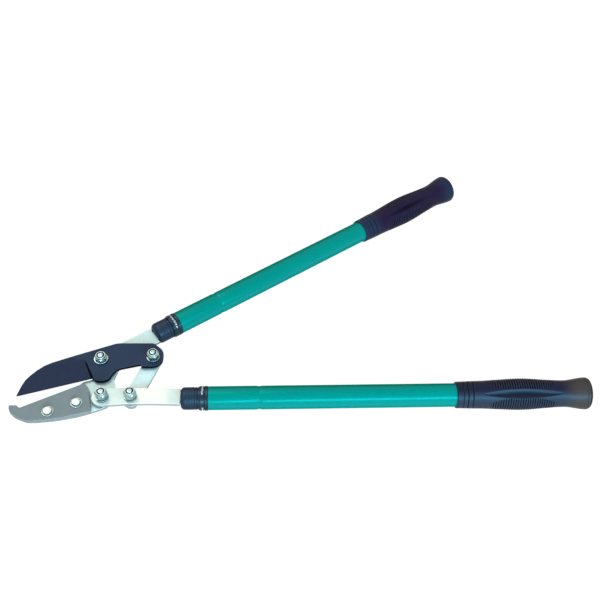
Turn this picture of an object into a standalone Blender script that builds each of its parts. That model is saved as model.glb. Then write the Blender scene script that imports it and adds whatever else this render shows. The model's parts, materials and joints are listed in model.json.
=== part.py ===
"""Telescopic compound-action anvil lopper, modelled in metres with +Z up.

The lopper lies flat with its jaw open. The lower handle runs along +X and the upper handle is turned
from it by the rest opening. The upper handle, the carrier plate and the anvil are one rigid frame. The
blade turns on the carrier, the lower lever turns on the carrier too, and a link joins the two, so the
blade's angle follows from the four pivots.
"""

import math

import bmesh
import bpy
from mathutils import Vector

MM = 0.001

# Clearances
CLEARANCE = 0.3 * MM
JAW_CLEARANCE = 0.4 * MM
LOOP_CLEARANCE = 1.8 * MM

# Plates and their two layers, measured from the plane of the tube axes
PLATE_THICKNESS = 4.0 * MM
LAYER_GAP = 1.4 * MM
PLATE_CHAMFER = 0.35 * MM

# Linkage: the carrier frame has its origin on the blade pivot and +X along the upper handle
LEVER_PIVOT_X = -24.7 * MM
LEVER_PIVOT_Y = -48.4 * MM
BLADE_PIVOT_TO_LINK = 60.2 * MM
LEVER_PIVOT_TO_LINK = 32.0 * MM
LINK_LENGTH = 59.7 * MM
REST_OPENING = math.radians(33.8)

# Cutting edge and anvil face: straight lines seen from the blade pivot
EDGE_REACH = 23.5 * MM
EDGE_SLOPE = math.radians(14.5)
ANVIL_SLOPE = math.radians(-8.15)
BLADE_LENGTH = 91.4 * MM
EDGE_HEEL = 7.6 * MM
GRIND_WIDTH = 29.0 * MM
EDGE_LAND = 0.4 * MM
HOOK_GAP = 15.0 * MM
HOOK_RISE = 5.0 * MM
HOOK_WIDTH = 7.0 * MM

# Widths of the head pieces
BLADE_BOSS_REACH = 32.0 * MM
BLADE_TAIL_RADIUS = 12.0 * MM
BLADE_BACK_HEIGHT = 23.3 * MM
BAR_END_RADIUS = 12.0 * MM
BAR_WAIST = 9.2 * MM
BAR_WIDTH = 21.5 * MM
TANG_WIDTH = 23.8 * MM
LINK_WIDTH = 19.0 * MM
TENON_WIDTH = 13.0 * MM
TENON_LENGTH = 35.0 * MM

# Pivot bolts, nuts and washers
BOLT_DIAMETER = 8.0 * MM
HEX_ACROSS_FLATS = 13.0 * MM
BOLT_HEAD_HEIGHT = 5.3 * MM
WASHER_DIAMETER = 16.6 * MM
SMALL_WASHER_DIAMETER = 15.2 * MM
WASHER_THICKNESS = 1.6 * MM
SPACER_DIAMETER = 16.0 * MM
LOW_NUT_HEIGHT = 6.0 * MM
MIDDLE_NUT_HEIGHT = 8.4 * MM
TALL_NUT_HEIGHT = 9.8 * MM
NUT_COLLAR_HEIGHT = 2.0 * MM
NUT_COLLAR_DIAMETER = 11.6 * MM
INSERT_DIAMETER = 9.6 * MM
INSERT_HEIGHT = 1.4 * MM
BOLT_CHAMFER = 1.1 * MM
LOW_BOLT_END = 0.6 * MM
TALL_BOLT_END = 0.4 * MM

# Anvil rivets, placed in the carrier frame
RIVET_DIAMETER = 6.0 * MM
RIVET_HEAD_DIAMETER = 13.6 * MM
RIVET_HEAD_HEIGHT = 3.6 * MM
FRONT_RIVET_X = -83.0 * MM
FRONT_RIVET_Y = -31.9 * MM
REAR_RIVET_X = -51.7 * MM
REAR_RIVET_Y = -39.4 * MM

# Telescopic handles: lengths run along the handle from its tube's front end
UPPER_REACH = 102.7 * MM
LOWER_REACH = 119.3 * MM
TUBE_DIAMETER = 27.0 * MM
TUBE_WALL = 1.5 * MM
TUBE_VISIBLE = 282.8 * MM
CRIMP_POSITION = 57.8 * MM
CRIMP_WIDTH = 6.0 * MM
CRIMP_DEPTH = 0.5 * MM
COLLET_WALL = 1.4 * MM
INNER_TUBE_DIAMETER = TUBE_DIAMETER - 2 * (TUBE_WALL + COLLET_WALL + 2 * CLEARANCE)
INNER_TUBE_WALL = 1.5 * MM
TRAVEL = 250.0 * MM
COLLET_LENGTH = 64.0 * MM
COLLET_NOSE = 5.5 * MM
PLUG_FLANGE = 12.0 * MM
PLUG_SPIGOT = 15.0 * MM
SLEEVE_INSET = 0.65 * MM
SLEEVE_DIAMETER = TUBE_DIAMETER - 2 * SLEEVE_INSET
SLEEVE_LENGTH = 19.8 * MM
SLEEVE_WALL = 3.3 * MM
SLEEVE_ROUNDING = 4.6 * MM
SLEEVE_GROOVE = 0.6 * MM
RING_LIP = 0.55 * MM
RING_DIAMETER = TUBE_DIAMETER + 2 * RING_LIP
RING_LENGTH = 10.8 * MM
RING_CHAMFER = 0.9 * MM

# Moulded grips: stations run from the grip's front end
GRIP_LENGTH = 157.6 * MM
GRIP_SOCKET = 130.0 * MM
GRIP_FRONT_DIAMETER = TUBE_DIAMETER + 3.6 * MM
GRIP_COLLAR_DIAMETER = TUBE_DIAMETER + 4.8 * MM
GRIP_COLLAR_LENGTH = 23.0 * MM
GRIP_BELLY_DIAMETER = TUBE_DIAMETER + 9.4 * MM
GRIP_BELLY_POSITION = 75.0 * MM
GRIP_NECK_DIAMETER = TUBE_DIAMETER + 3.8 * MM
GRIP_NECK_POSITION = 126.0 * MM
GRIP_BULB_DIAMETER = TUBE_DIAMETER + 10.4 * MM
GRIP_BULB_ROUNDING = 5.6 * MM
GRIP_GROOVE_DEPTH = 0.6 * MM
GRIP_GROOVE_PITCH = 3.8 * MM
RIB_START = 36.0 * MM
RIB_PITCH = 2.8 * MM
RIB_COUNT = 25
RIB_DEPTH = 0.5 * MM
SCOOP_COUNT = 3
SCOOP_START = 33.0 * MM
SCOOP_LENGTH = 88.0 * MM
SCOOP_HALF_ANGLE = math.radians(18.0)
SCOOP_DEPTH = 1.3 * MM
SCOOP_ROLL = math.radians(38.0)

# Facets
ROUND_SIDES = 20
HARDWARE_SIDES = 14
HEX_SIDES = 12
ARC_STEP = math.radians(18.0)

# Levels that follow from the sizes above
LOW_BOTTOM = -LAYER_GAP / 2 - PLATE_THICKNESS
LOW_TOP = -LAYER_GAP / 2
HIGH_BOTTOM = LAYER_GAP / 2
HIGH_TOP = LAYER_GAP / 2 + PLATE_THICKNESS
HIGH_MIDDLE = (HIGH_BOTTOM + HIGH_TOP) / 2
RING_FRONT = -CLEARANCE - RING_LENGTH
SLEEVE_FRONT = RING_FRONT - CLEARANCE - SLEEVE_LENGTH
INNER_TUBE_FRONT = SLEEVE_FRONT + SLEEVE_WALL + CLEARANCE
INNER_TUBE_REAR = COLLET_LENGTH + TRAVEL + CLEARANCE
TUBE_LENGTH = TUBE_VISIBLE + GRIP_SOCKET
ANVIL_REACH = EDGE_REACH + JAW_CLEARANCE


def clear_scene():
    """Remove every object that the scene starts with."""
    for old in list(bpy.data.objects):
        bpy.data.objects.remove(old, do_unlink=True)


def linear(value):
    """Turn one sRGB channel, 0 to 255, into a linear value."""
    share = value / 255.0
    if share <= 0.04045:
        return share / 12.92
    return ((share + 0.055) / 1.055) ** 2.4


def make_material(name, red, green, blue, roughness, metallic):
    """Make a plain Principled material from an sRGB colour."""
    mat = bpy.data.materials.new(name)
    mat.use_nodes = True
    shader = mat.node_tree.nodes["Principled BSDF"]
    colour = (linear(red), linear(green), linear(blue), 1.0)
    shader.inputs["Base Color"].default_value = colour
    shader.inputs["Roughness"].default_value = roughness
    shader.inputs["Metallic"].default_value = metallic
    mat.diffuse_color = colour
    return mat


def make_empty(name, parent, location, turn):
    """Add an empty that carries a group of pieces on one axis."""
    empty = bpy.data.objects.new(name, None)
    empty.empty_display_size = 0.02
    bpy.context.scene.collection.objects.link(empty)
    empty.parent = parent
    empty.location = location
    empty.rotation_euler = (0.0, 0.0, turn)
    return empty


def finish(name, bm, mat, parent, smooth):
    """Turn a bmesh into a named object under its parent."""
    bmesh.ops.remove_doubles(bm, verts=bm.verts, dist=1e-7)
    bmesh.ops.recalc_face_normals(bm, faces=bm.faces)
    mesh = bpy.data.meshes.new(name)
    bm.to_mesh(mesh)
    bm.free()
    obj = bpy.data.objects.new(name, mesh)
    bpy.context.scene.collection.objects.link(obj)
    obj.parent = parent
    if mat is not None:
        mesh.materials.append(mat)
    if smooth:
        mesh.shade_smooth()
        mesh.set_sharp_from_angle(angle=math.radians(32.0))
    return obj


def cut(obj, cutter):
    """Subtract a cutter from an object with an exact Boolean modifier."""
    cutter.hide_render = True
    cutter.display_type = 'WIRE'
    mod = obj.modifiers.new("cut by " + cutter.name, 'BOOLEAN')
    mod.operation = 'DIFFERENCE'
    mod.solver = 'EXACT'
    mod.object = cutter


def line_y(x, reach, slope):
    """Height of a straight line that passes the origin at a distance, below it."""
    return x * math.tan(slope) - reach / math.cos(slope)


def rounded_outline(corners):
    """Turn corners (x, y, fillet radius) into outline points with true arcs."""
    points = []
    count = len(corners)
    for index in range(count):
        corner = Vector(corners[index][:2])
        before = Vector(corners[index - 1][:2]) - corner
        after = Vector(corners[(index + 1) % count][:2]) - corner
        room = 0.499 * min(before.length, after.length)
        before.normalize()
        after.normalize()
        opening = before.angle(after)
        radius = min(corners[index][2], room * math.tan(opening / 2))
        if radius <= 0.05 * MM or opening > math.pi - 0.01:
            points.append(corner)
            continue
        centre = corner + (before + after).normalized() * radius / math.sin(opening / 2)
        reach = radius / math.tan(opening / 2)
        first = corner + before * reach - centre
        last = corner + after * reach - centre
        start = math.atan2(first.y, first.x)
        sweep = math.atan2(last.y, last.x) - start
        sweep = (sweep + math.pi) % (2 * math.pi) - math.pi
        steps = max(1, math.ceil(abs(sweep) / ARC_STEP))
        for step in range(steps + 1):
            angle = start + sweep * step / steps
            points.append(centre + radius * Vector((math.cos(angle), math.sin(angle))))
    kept = [p for i, p in enumerate(points) if (p - points[i - 1]).length > 1e-6]
    area = sum(p.cross(kept[(i + 1) % len(kept)]) for i, p in enumerate(kept))
    if area < 0:
        kept.reverse()
    return kept


def inset(outline, width):
    """Move a counter-clockwise outline inwards by a width, corner by corner."""
    moved = []
    count = len(outline)
    for index, point in enumerate(outline):
        back = (point - outline[index - 1]).normalized()
        ahead = (outline[(index + 1) % count] - point).normalized()
        normal = Vector((-back.y - ahead.y, back.x + ahead.x)).normalized()
        share = max(0.35, normal.dot(Vector((-back.y, back.x))))
        moved.append(point + normal * width / share)
    return moved


def circle(centre_x, centre_y, radius, sides):
    """Points of a round hole, counter-clockwise."""
    angles = [2 * math.pi * step / sides for step in range(sides)]
    return [Vector((centre_x + radius * math.cos(a), centre_y + radius * math.sin(a))) for a in angles]


def add_loop(bm, points, height):
    """Add one closed loop of vertices at a height."""
    return [bm.verts.new((p.x, p.y, height)) for p in points]


def bridge(bm, lower, upper):
    """Join two loops of the same length with quads."""
    count = len(lower)
    for index in range(count):
        following = (index + 1) % count
        bm.faces.new((lower[index], lower[following], upper[following], upper[index]))


def fill_cap(bm, loops):
    """Fill a flat cap between an outer loop and its holes."""
    edges = []
    for loop in loops:
        for index, vert in enumerate(loop):
            following = loop[(index + 1) % len(loop)]
            edge = bm.edges.get((vert, following)) or bm.edges.new((vert, following))
            edges.append(edge)
    bmesh.ops.triangle_fill(bm, use_beauty=True, use_dissolve=False, edges=edges)


def plate(name, corners, bottom, top, holes, mat, parent, chamfer=PLATE_CHAMFER):
    """Flat plate with filleted corners, chamfered rims and round holes (x, y, diameter)."""
    bm = bmesh.new()
    outline = rounded_outline(corners)
    small = inset(outline, chamfer)
    levels = ((bottom, small), (bottom + chamfer, outline), (top - chamfer, outline), (top, small))
    loops = [add_loop(bm, points, height) for height, points in levels]
    for lower, upper in zip(loops, loops[1:]):
        bridge(bm, lower, upper)
    low_rims = [loops[0]]
    high_rims = [loops[-1]]
    for x, y, diameter in holes:
        hole = circle(x, y, diameter / 2, HARDWARE_SIDES)
        low_rim = add_loop(bm, hole, bottom)
        high_rim = add_loop(bm, hole, top)
        bridge(bm, high_rim, low_rim)
        low_rims.append(low_rim)
        high_rims.append(high_rim)
    fill_cap(bm, low_rims)
    fill_cap(bm, high_rims)
    return finish(name, bm, mat, parent, False)


def turned(name, profile, sides, axis, mat, parent):
    """Spin a closed profile of (position along the axis, radius) round that axis."""
    bm = bmesh.new()
    verts = []
    for position, radius in profile:
        if axis == 'X':
            verts.append(bm.verts.new((position, 0.0, radius)))
        else:
            verts.append(bm.verts.new((radius, 0.0, position)))
    edges = [bm.edges.new((verts[i - 1], verts[i])) for i in range(len(verts))]
    flat = [e for e in edges if all(abs(v.co.z if axis == 'X' else v.co.x) < 1e-9 for v in e.verts)]
    for edge in flat:
        edges.remove(edge)
    direction = (1.0, 0.0, 0.0) if axis == 'X' else (0.0, 0.0, 1.0)
    bmesh.ops.spin(bm, geom=verts + edges, cent=(0, 0, 0), axis=direction, dvec=(0, 0, 0),
                   angle=2 * math.pi, steps=sides, use_merge=True, use_duplicate=False)
    for edge in flat:
        if edge.is_valid and not edge.link_faces:
            bm.edges.remove(edge)
    return finish(name, bm, mat, parent, True)


def hexagon(across_flats, radius_limit, sides):
    """Points of a hexagon sampled like a circle, with its corners cut back to a radius."""
    points = []
    for step in range(sides):
        angle = 2 * math.pi * step / sides
        from_flat = (angle + math.pi / 6) % (math.pi / 3) - math.pi / 6
        radius = min(across_flats / 2 / math.cos(from_flat), radius_limit)
        points.append(Vector((radius * math.cos(angle), radius * math.sin(angle))))
    return points


def rotated_hexagon(across_flats, radius_limit, sides):
    """The same hexagon, turned so that a corner points along X."""
    turn = math.pi / 6
    cosine = math.cos(turn)
    sine = math.sin(turn)
    points = hexagon(across_flats, radius_limit, sides)
    turned_points = [Vector((cosine * p.x - sine * p.y, sine * p.x + cosine * p.y)) for p in points]
    steps = round(sides * turn / (2 * math.pi))
    return turned_points[-steps:] + turned_points[:-steps]


def stacked(name, loops, closed, mat, parent):
    """Join loops (height, points) into a ring or, with caps, into a solid."""
    bm = bmesh.new()
    rows = [add_loop(bm, points, height) for height, points in loops]
    for lower, upper in zip(rows, rows[1:]):
        bridge(bm, lower, upper)
    if closed:
        bridge(bm, rows[-1], rows[0])
    else:
        bm.faces.new(rows[0][::-1])
        bm.faces.new(rows[-1])
    return finish(name, bm, mat, parent, True)


def ring(name, inner, outer, bottom, top, sides, mat, parent):
    """Flat ring such as a washer or an insert."""
    inside = circle(0, 0, inner / 2, sides)
    outside = circle(0, 0, outer / 2, sides)
    loops = [(bottom, inside), (bottom, outside), (top, outside), (top, inside)]
    return stacked(name, loops, True, mat, parent)


def pivot_stack(prefix, parent, nut_height, bolt_end, washer_diameter, mats):
    """Bolt, spacer, washer, locking nut and nylon insert on one pivot, centred on their parent."""
    shank = BOLT_DIAMETER / 2
    bore = BOLT_DIAMETER + 2 * CLEARANCE
    corner = 0.535 * HEX_ACROSS_FLATS + CLEARANCE
    washer_bottom = HIGH_TOP + CLEARANCE
    washer_top = washer_bottom + WASHER_THICKNESS
    nut_bottom = washer_top + CLEARANCE
    nut_top = nut_bottom + nut_height
    collar_bottom = nut_top - NUT_COLLAR_HEIGHT
    head_top = LOW_BOTTOM - CLEARANCE
    head_bottom = head_top - BOLT_HEAD_HEIGHT
    edge = 0.8 * MM

    head = rotated_hexagon(HEX_ACROSS_FLATS, corner, HEX_SIDES)
    head_face = circle(0, 0, 0.47 * HEX_ACROSS_FLATS, HEX_SIDES)
    loops = [(head_bottom, head_face),
             (head_bottom + edge, head),
             (head_top, head),
             (head_top, circle(0, 0, shank, HEX_SIDES)),
             (nut_top + bolt_end - 0.5 * BOLT_CHAMFER, circle(0, 0, shank, HEX_SIDES)),
             (nut_top + bolt_end, circle(0, 0, shank - BOLT_CHAMFER, HEX_SIDES))]
    stacked(prefix + "_bolt", loops, False, mats["zinc"], parent)

    spacer_bottom = LOW_TOP + CLEARANCE
    spacer_top = HIGH_BOTTOM - CLEARANCE
    ring(prefix + "_spacer", bore, SPACER_DIAMETER, spacer_bottom, spacer_top, HARDWARE_SIDES, mats["zinc"], parent)
    ring(prefix + "_washer", bore, washer_diameter, washer_bottom, washer_top, HARDWARE_SIDES, mats["zinc"], parent)

    body = rotated_hexagon(HEX_ACROSS_FLATS, corner, HEX_SIDES)
    face = circle(0, 0, 0.48 * HEX_ACROSS_FLATS, HEX_SIDES)
    recess = INSERT_DIAMETER / 2 + CLEARANCE
    recess_bottom = nut_top - INSERT_HEIGHT - CLEARANCE
    loops = [(nut_bottom, circle(0, 0, bore / 2, HEX_SIDES)),
             (nut_bottom, face),
             (nut_bottom + edge, body),
             (collar_bottom - edge, body),
             (collar_bottom, circle(0, 0, NUT_COLLAR_DIAMETER / 2, HEX_SIDES)),
             (nut_top, circle(0, 0, NUT_COLLAR_DIAMETER / 2 - CLEARANCE, HEX_SIDES)),
             (nut_top, circle(0, 0, recess, HEX_SIDES)),
             (recess_bottom, circle(0, 0, recess, HEX_SIDES)),
             (recess_bottom, circle(0, 0, bore / 2, HEX_SIDES))]
    stacked(prefix + "_nut", loops, True, mats["zinc"], parent)
    ring(prefix + "_insert", bore, INSERT_DIAMETER, recess_bottom + CLEARANCE, nut_top, HEX_SIDES, mats["nylon"], parent)


def rotated(point, angle):
    """Turn a flat point round the origin."""
    cosine = math.cos(angle)
    sine = math.sin(angle)
    return Vector((cosine * point.x - sine * point.y, sine * point.x + cosine * point.y))


def solve_linkage(opening):
    """Blade pivot, blade angle and link angle, with the lever pivot at the origin and its handle along +X."""
    blade_pivot = -rotated(Vector((LEVER_PIVOT_X, LEVER_PIVOT_Y)), opening)
    lever_link = Vector((LEVER_PIVOT_TO_LINK, 0.0))
    between = lever_link - blade_pivot
    span = between.length
    along = (BLADE_PIVOT_TO_LINK ** 2 - LINK_LENGTH ** 2 + span ** 2) / (2 * span)
    across = math.sqrt(BLADE_PIVOT_TO_LINK ** 2 - along ** 2)
    direction = between / span
    normal = Vector((-direction.y, direction.x))
    blade_link = blade_pivot + direction * along + normal * across
    tail = blade_link - blade_pivot
    link = blade_link - lever_link
    return blade_pivot, math.atan2(tail.y, tail.x), math.atan2(link.y, link.x)


def tenon(shoulder, end, upper_y, lower_y):
    """Corners of a plate's square shoulders and its tenon, from the upper edge to the lower edge."""
    half = TENON_WIDTH / 2
    return [(shoulder, upper_y, 0.0), (shoulder, half, 0.0), (end, half, 1.5 * MM),
            (end, -half, 1.5 * MM), (shoulder, -half, 0.0), (shoulder, lower_y, 0.0)]


def build_carrier(parent, mats):
    """Bottom plate: tang of the upper handle, both main pivots and the backing of the anvil."""
    px = LEVER_PIVOT_X
    py = LEVER_PIVOT_Y
    shoulder = UPPER_REACH + SLEEVE_FRONT - CLEARANCE
    end = UPPER_REACH + SLEEVE_FRONT + TENON_LENGTH
    back = TANG_WIDTH / 2 + 0.4 * MM
    front = back - TANG_WIDTH
    jaw_end = -BLADE_LENGTH - 10.4 * MM
    corners = tenon(shoulder, end, back, front)
    corners += [(22.0 * MM, front, 12.0 * MM), (-0.5 * MM, -30.0 * MM, 3.0 * MM),
                (px + 20.2 * MM, py + 6.4 * MM, 8.0 * MM), (px + 9.7 * MM, py - 9.8 * MM, 10.0 * MM),
                (px - 5.3 * MM, py - 10.1 * MM, 14.0 * MM), (px - 30.3 * MM, py - 4.1 * MM, 40.0 * MM),
                (jaw_end + 22.0 * MM, -42.5 * MM, 60.0 * MM), (jaw_end, -30.3 * MM, 3.0 * MM),
                (jaw_end + 2.0 * MM, -22.0 * MM, 8.0 * MM), (-30.0 * MM, -14.0 * MM, 6.0 * MM),
                (-17.0 * MM, -18.0 * MM, 8.0 * MM), (-16.0 * MM, 6.0 * MM, 12.0 * MM),
                (0.0, 15.0 * MM, 20.0 * MM), (20.0 * MM, back, 30.0 * MM)]
    bore = BOLT_DIAMETER + 2 * CLEARANCE
    rivet = RIVET_DIAMETER + 2 * CLEARANCE
    holes = [(0.0, 0.0, bore), (px, py, bore),
             (FRONT_RIVET_X, FRONT_RIVET_Y, rivet), (REAR_RIVET_X, REAR_RIVET_Y, rivet)]
    return plate("carrier_plate", corners, LOW_BOTTOM, LOW_TOP, holes, mats["plated"], parent)


def build_anvil(parent, mats):
    """Thick grey anvil on the carrier, with a straight bearing edge and an upturned hook."""
    px = LEVER_PIVOT_X
    py = LEVER_PIVOT_Y
    toe = -BLADE_LENGTH - HOOK_GAP
    heel = px - 6.9 * MM
    toe_y = line_y(toe, ANVIL_REACH, ANVIL_SLOPE)
    heel_y = line_y(heel, ANVIL_REACH, ANVIL_SLOPE)
    lip_y = toe_y + HOOK_RISE
    tip = toe - HOOK_WIDTH - 1.2 * MM
    corners = [(tip, lip_y + 4.8 * MM, 1.2 * MM), (toe - 1.2 * MM, lip_y, 1.4 * MM), (toe, toe_y, 1.5 * MM),
               (heel, heel_y, 2.5 * MM), (heel + 0.4 * MM, heel_y - 9.0 * MM, 1.5 * MM),
               (px - 19.3 * MM, py - 9.4 * MM, 2.0 * MM), (px - 47.3 * MM, py + 0.6 * MM, 60.0 * MM),
               (toe + 16.4 * MM, -39.6 * MM, 60.0 * MM), (toe - 0.2 * MM, -30.6 * MM, 14.0 * MM),
               (tip - 0.9 * MM, -17.0 * MM, 20.0 * MM), (tip - 2.8 * MM, -6.0 * MM, 8.0 * MM)]
    rivet = RIVET_DIAMETER + 2 * CLEARANCE
    holes = [(FRONT_RIVET_X, FRONT_RIVET_Y, rivet), (REAR_RIVET_X, REAR_RIVET_Y, rivet)]
    bottom = LOW_TOP + CLEARANCE
    return plate("anvil", corners, bottom, HIGH_TOP, holes, mats["anvil"], parent)


def build_rivet(name, x, y, parent, mats):
    """Domed rivet through the anvil and the carrier."""
    top = HIGH_TOP + CLEARANCE
    bottom = LOW_BOTTOM - CLEARANCE
    head = RIVET_HEAD_DIAMETER / 2
    shank = RIVET_DIAMETER / 2
    tail = 0.8 * head
    profile = [(top + RIVET_HEAD_HEIGHT, 0.0), (top + 0.9 * RIVET_HEAD_HEIGHT, 0.42 * head),
               (top + 0.55 * RIVET_HEAD_HEIGHT, 0.8 * head), (top, head), (top, shank), (bottom, shank),
               (bottom, tail), (bottom - 0.4 * RIVET_HEAD_HEIGHT, 0.75 * tail),
               (bottom - 0.55 * RIVET_HEAD_HEIGHT, 0.0)]
    axis = make_empty(name + "_axis", parent, (x, y, 0.0), 0.0)
    return turned(name, profile, HARDWARE_SIDES, 'Z', mats["zinc"], axis)


def grind_cutter(name, side, parent):
    """Wedge that leaves one ground face of the blade; side is +1 above the middle and -1 below."""
    slope = EDGE_SLOPE
    along = Vector((-math.cos(slope), -math.sin(slope)))
    normal = Vector((-math.sin(slope), math.cos(slope)))
    heel_x = -EDGE_HEEL - 0.5 * MM
    heel = Vector((heel_x, line_y(heel_x, EDGE_REACH, slope)))
    lean = Vector((-11.3 * MM, 28.4 * MM)).normalized()
    half = PLATE_THICKNESS / 2
    margin = 6.0 * MM
    corners = []
    for reach, height in ((-margin, -margin), (GRIND_WIDTH + margin, GRIND_WIDTH + margin)):
        near = heel + lean * height / lean.dot(normal)
        far = heel + along * (BLADE_LENGTH + margin) + normal * reach
        corners.append((near, far, reach))
    fall = (half - EDGE_LAND / 2) / GRIND_WIDTH
    bm = bmesh.new()
    inner = []
    outer = []
    for near, far, reach in corners:
        level = EDGE_LAND / 2 + fall * reach
        for point in (near, far):
            inner.append(bm.verts.new((point.x, point.y, HIGH_MIDDLE + side * level)))
            outer.append(bm.verts.new((point.x, point.y, HIGH_MIDDLE + side * (half + margin))))
    order = (0, 1, 3, 2)
    bm.faces.new([inner[i] for i in order])
    bm.faces.new([outer[i] for i in order])
    for step in range(4):
        first = order[step]
        second = order[(step + 1) % 4]
        bm.faces.new((inner[first], inner[second], outer[second], outer[first]))
    return finish(name, bm, None, parent, False)


def build_blade(parent, mats):
    """Blade with its boss, tail and back, ground on both sides down to a narrow edge."""
    tail = BLADE_PIVOT_TO_LINK
    reach = BLADE_BOSS_REACH
    back = BLADE_BACK_HEIGHT
    tip_y = line_y(-BLADE_LENGTH, EDGE_REACH, EDGE_SLOPE)
    heel_y = line_y(-EDGE_HEEL, EDGE_REACH, EDGE_SLOPE)
    wide = BLADE_TAIL_RADIUS
    corners = [(-BLADE_LENGTH, tip_y, 1.0 * MM), (-EDGE_HEEL, heel_y, 0.0),
               (-EDGE_HEEL + 3.0 * MM, 1.8 * MM - reach, 3.0 * MM), (3.2 * MM, -reach, 9.0 * MM),
               (10.8 * MM, 3.2 * MM - reach, 5.0 * MM), (17.6 * MM, -15.2 * MM, 14.0 * MM),
               (tail - 14.0 * MM, -9.2 * MM, 0.0), (tail - 13.6 * MM, -12.2 * MM, 1.5 * MM),
               (tail + 0.8 * MM, -wide - 0.8 * MM, 14.0 * MM), (tail + wide - 1.2 * MM, -8.4 * MM, 12.0 * MM),
               (tail + wide + 0.3 * MM, 9.4 * MM, 13.0 * MM), (tail - 0.2 * MM, back - 1.7 * MM, 6.0 * MM),
               (17.0 * MM, back, 20.0 * MM), (-36.1 * MM, back - 18.4 * MM, 60.0 * MM),
               (26.4 * MM - BLADE_LENGTH, -5.9 * MM, 42.0 * MM), (7.2 * MM - BLADE_LENGTH, -25.8 * MM, 34.0 * MM)]
    bore = BOLT_DIAMETER + 2 * CLEARANCE
    holes = [(0.0, 0.0, bore), (tail, 0.0, bore)]
    blade = plate("blade", corners, HIGH_BOTTOM, HIGH_TOP, holes, mats["blade"], parent)
    cut(blade, grind_cutter("grind_above", 1, parent))
    cut(blade, grind_cutter("grind_below", -1, parent))
    return blade


def build_lever(parent, mats):
    """Top bar from the lever pivot into the lower handle, waisted under the link's bolt."""
    radius = BAR_END_RADIUS
    shoulder = LOWER_REACH + SLEEVE_FRONT - CLEARANCE
    end = LOWER_REACH + SLEEVE_FRONT + TENON_LENGTH
    link = LEVER_PIVOT_TO_LINK
    upper = BAR_WIDTH / 2 - 0.25 * MM
    lower = upper - BAR_WIDTH
    corners = tenon(shoulder, end, upper, lower)
    corners += [(link + 28.0 * MM, -BAR_WAIST - 0.4 * MM, 60.0 * MM), (link - 2.0 * MM, -BAR_WAIST, 60.0 * MM),
                (radius, 1.5 * MM - radius, 12.0 * MM), (-radius, 0.5 * MM - radius, radius - 0.5 * MM),
                (-radius, radius + 0.5 * MM, radius), (link - 2.0 * MM, radius + 0.5 * MM, 40.0 * MM)]
    bore = BOLT_DIAMETER + 2 * CLEARANCE
    holes = [(0.0, 0.0, bore), (link, 0.0, bore)]
    return plate("lever_bar", corners, HIGH_BOTTOM, HIGH_TOP, holes, mats["plated"], parent)


def build_link(parent, mats):
    """Straight link with round ends; its far hole has the loop's clearance."""
    half = LINK_WIDTH / 2
    length = LINK_LENGTH
    corners = [(-half, -half, half), (length + half, -half, half), (length + half, half, half), (-half, half, half)]
    holes = [(0.0, 0.0, BOLT_DIAMETER + 2 * CLEARANCE), (length, 0.0, BOLT_DIAMETER + 2 * LOOP_CLEARANCE)]
    return plate("link", corners, LOW_BOTTOM, LOW_TOP, holes, mats["plated"], parent)


def build_sleeve(name, plate_bottom, parent, mats):
    """Front sleeve fixed to the plate's tenon, with a slot for it in the closed front."""
    front = SLEEVE_FRONT
    rear = front + SLEEVE_LENGTH
    radius = SLEEVE_DIAMETER / 2
    bore = INNER_TUBE_DIAMETER / 2 + CLEARANCE
    wall = front + SLEEVE_WALL
    groove = radius - SLEEVE_GROOVE
    arc = []
    for step in range(4):
        angle = math.pi / 2 * step / 3
        arc.append((front + SLEEVE_ROUNDING * (1 - math.sin(angle)),
                    radius - SLEEVE_ROUNDING * (1 - math.cos(angle))))
    arc.reverse()
    profile = [(front, 0.0)] + arc
    profile += [(rear - 5.2 * MM, radius), (rear - 4.6 * MM, groove), (rear - 3.2 * MM, groove),
                (rear - 2.6 * MM, radius), (rear, radius), (rear, bore), (wall, bore), (wall, 0.0)]
    sleeve = turned(name, profile, ROUND_SIDES, 'X', mats["sleeve"], parent)
    low = plate_bottom - CLEARANCE
    high = plate_bottom + PLATE_THICKNESS + CLEARANCE
    half = TENON_WIDTH / 2 + CLEARANCE
    bm = bmesh.new()
    bmesh.ops.create_cube(bm, size=1.0)
    for vert in bm.verts:
        vert.co.x = front + SLEEVE_WALL / 2 + vert.co.x * (SLEEVE_WALL + 2.0 * MM)
        vert.co.y = vert.co.y * 2 * half
        vert.co.z = (low + high) / 2 + vert.co.z * (high - low)
    cut(sleeve, finish(name + "_slot", bm, None, parent, False))
    return sleeve


def build_inner_tube(name, parent, mats):
    """Plain steel tube that stays with the sleeve."""
    outer = INNER_TUBE_DIAMETER / 2
    bore = outer - INNER_TUBE_WALL
    profile = [(INNER_TUBE_FRONT, bore), (INNER_TUBE_FRONT, outer), (INNER_TUBE_REAR, outer), (INNER_TUBE_REAR, bore)]
    return turned(name, profile, ROUND_SIDES, 'X', mats["plated"], parent)


def build_guide_plug(name, parent, mats):
    """Plug in the inner tube's rear end whose flange slides in the outer tube."""
    spigot = INNER_TUBE_DIAMETER / 2 - INNER_TUBE_WALL - CLEARANCE
    flange = TUBE_DIAMETER / 2 - TUBE_WALL - CLEARANCE
    seat = INNER_TUBE_REAR + CLEARANCE
    profile = [(seat - PLUG_SPIGOT, 0.0), (seat - PLUG_SPIGOT, spigot), (seat, spigot), (seat, flange),
               (seat + PLUG_FLANGE, flange), (seat + PLUG_FLANGE, 0.0)]
    return turned(name, profile, HARDWARE_SIDES, 'X', mats["nylon"], parent)


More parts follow.
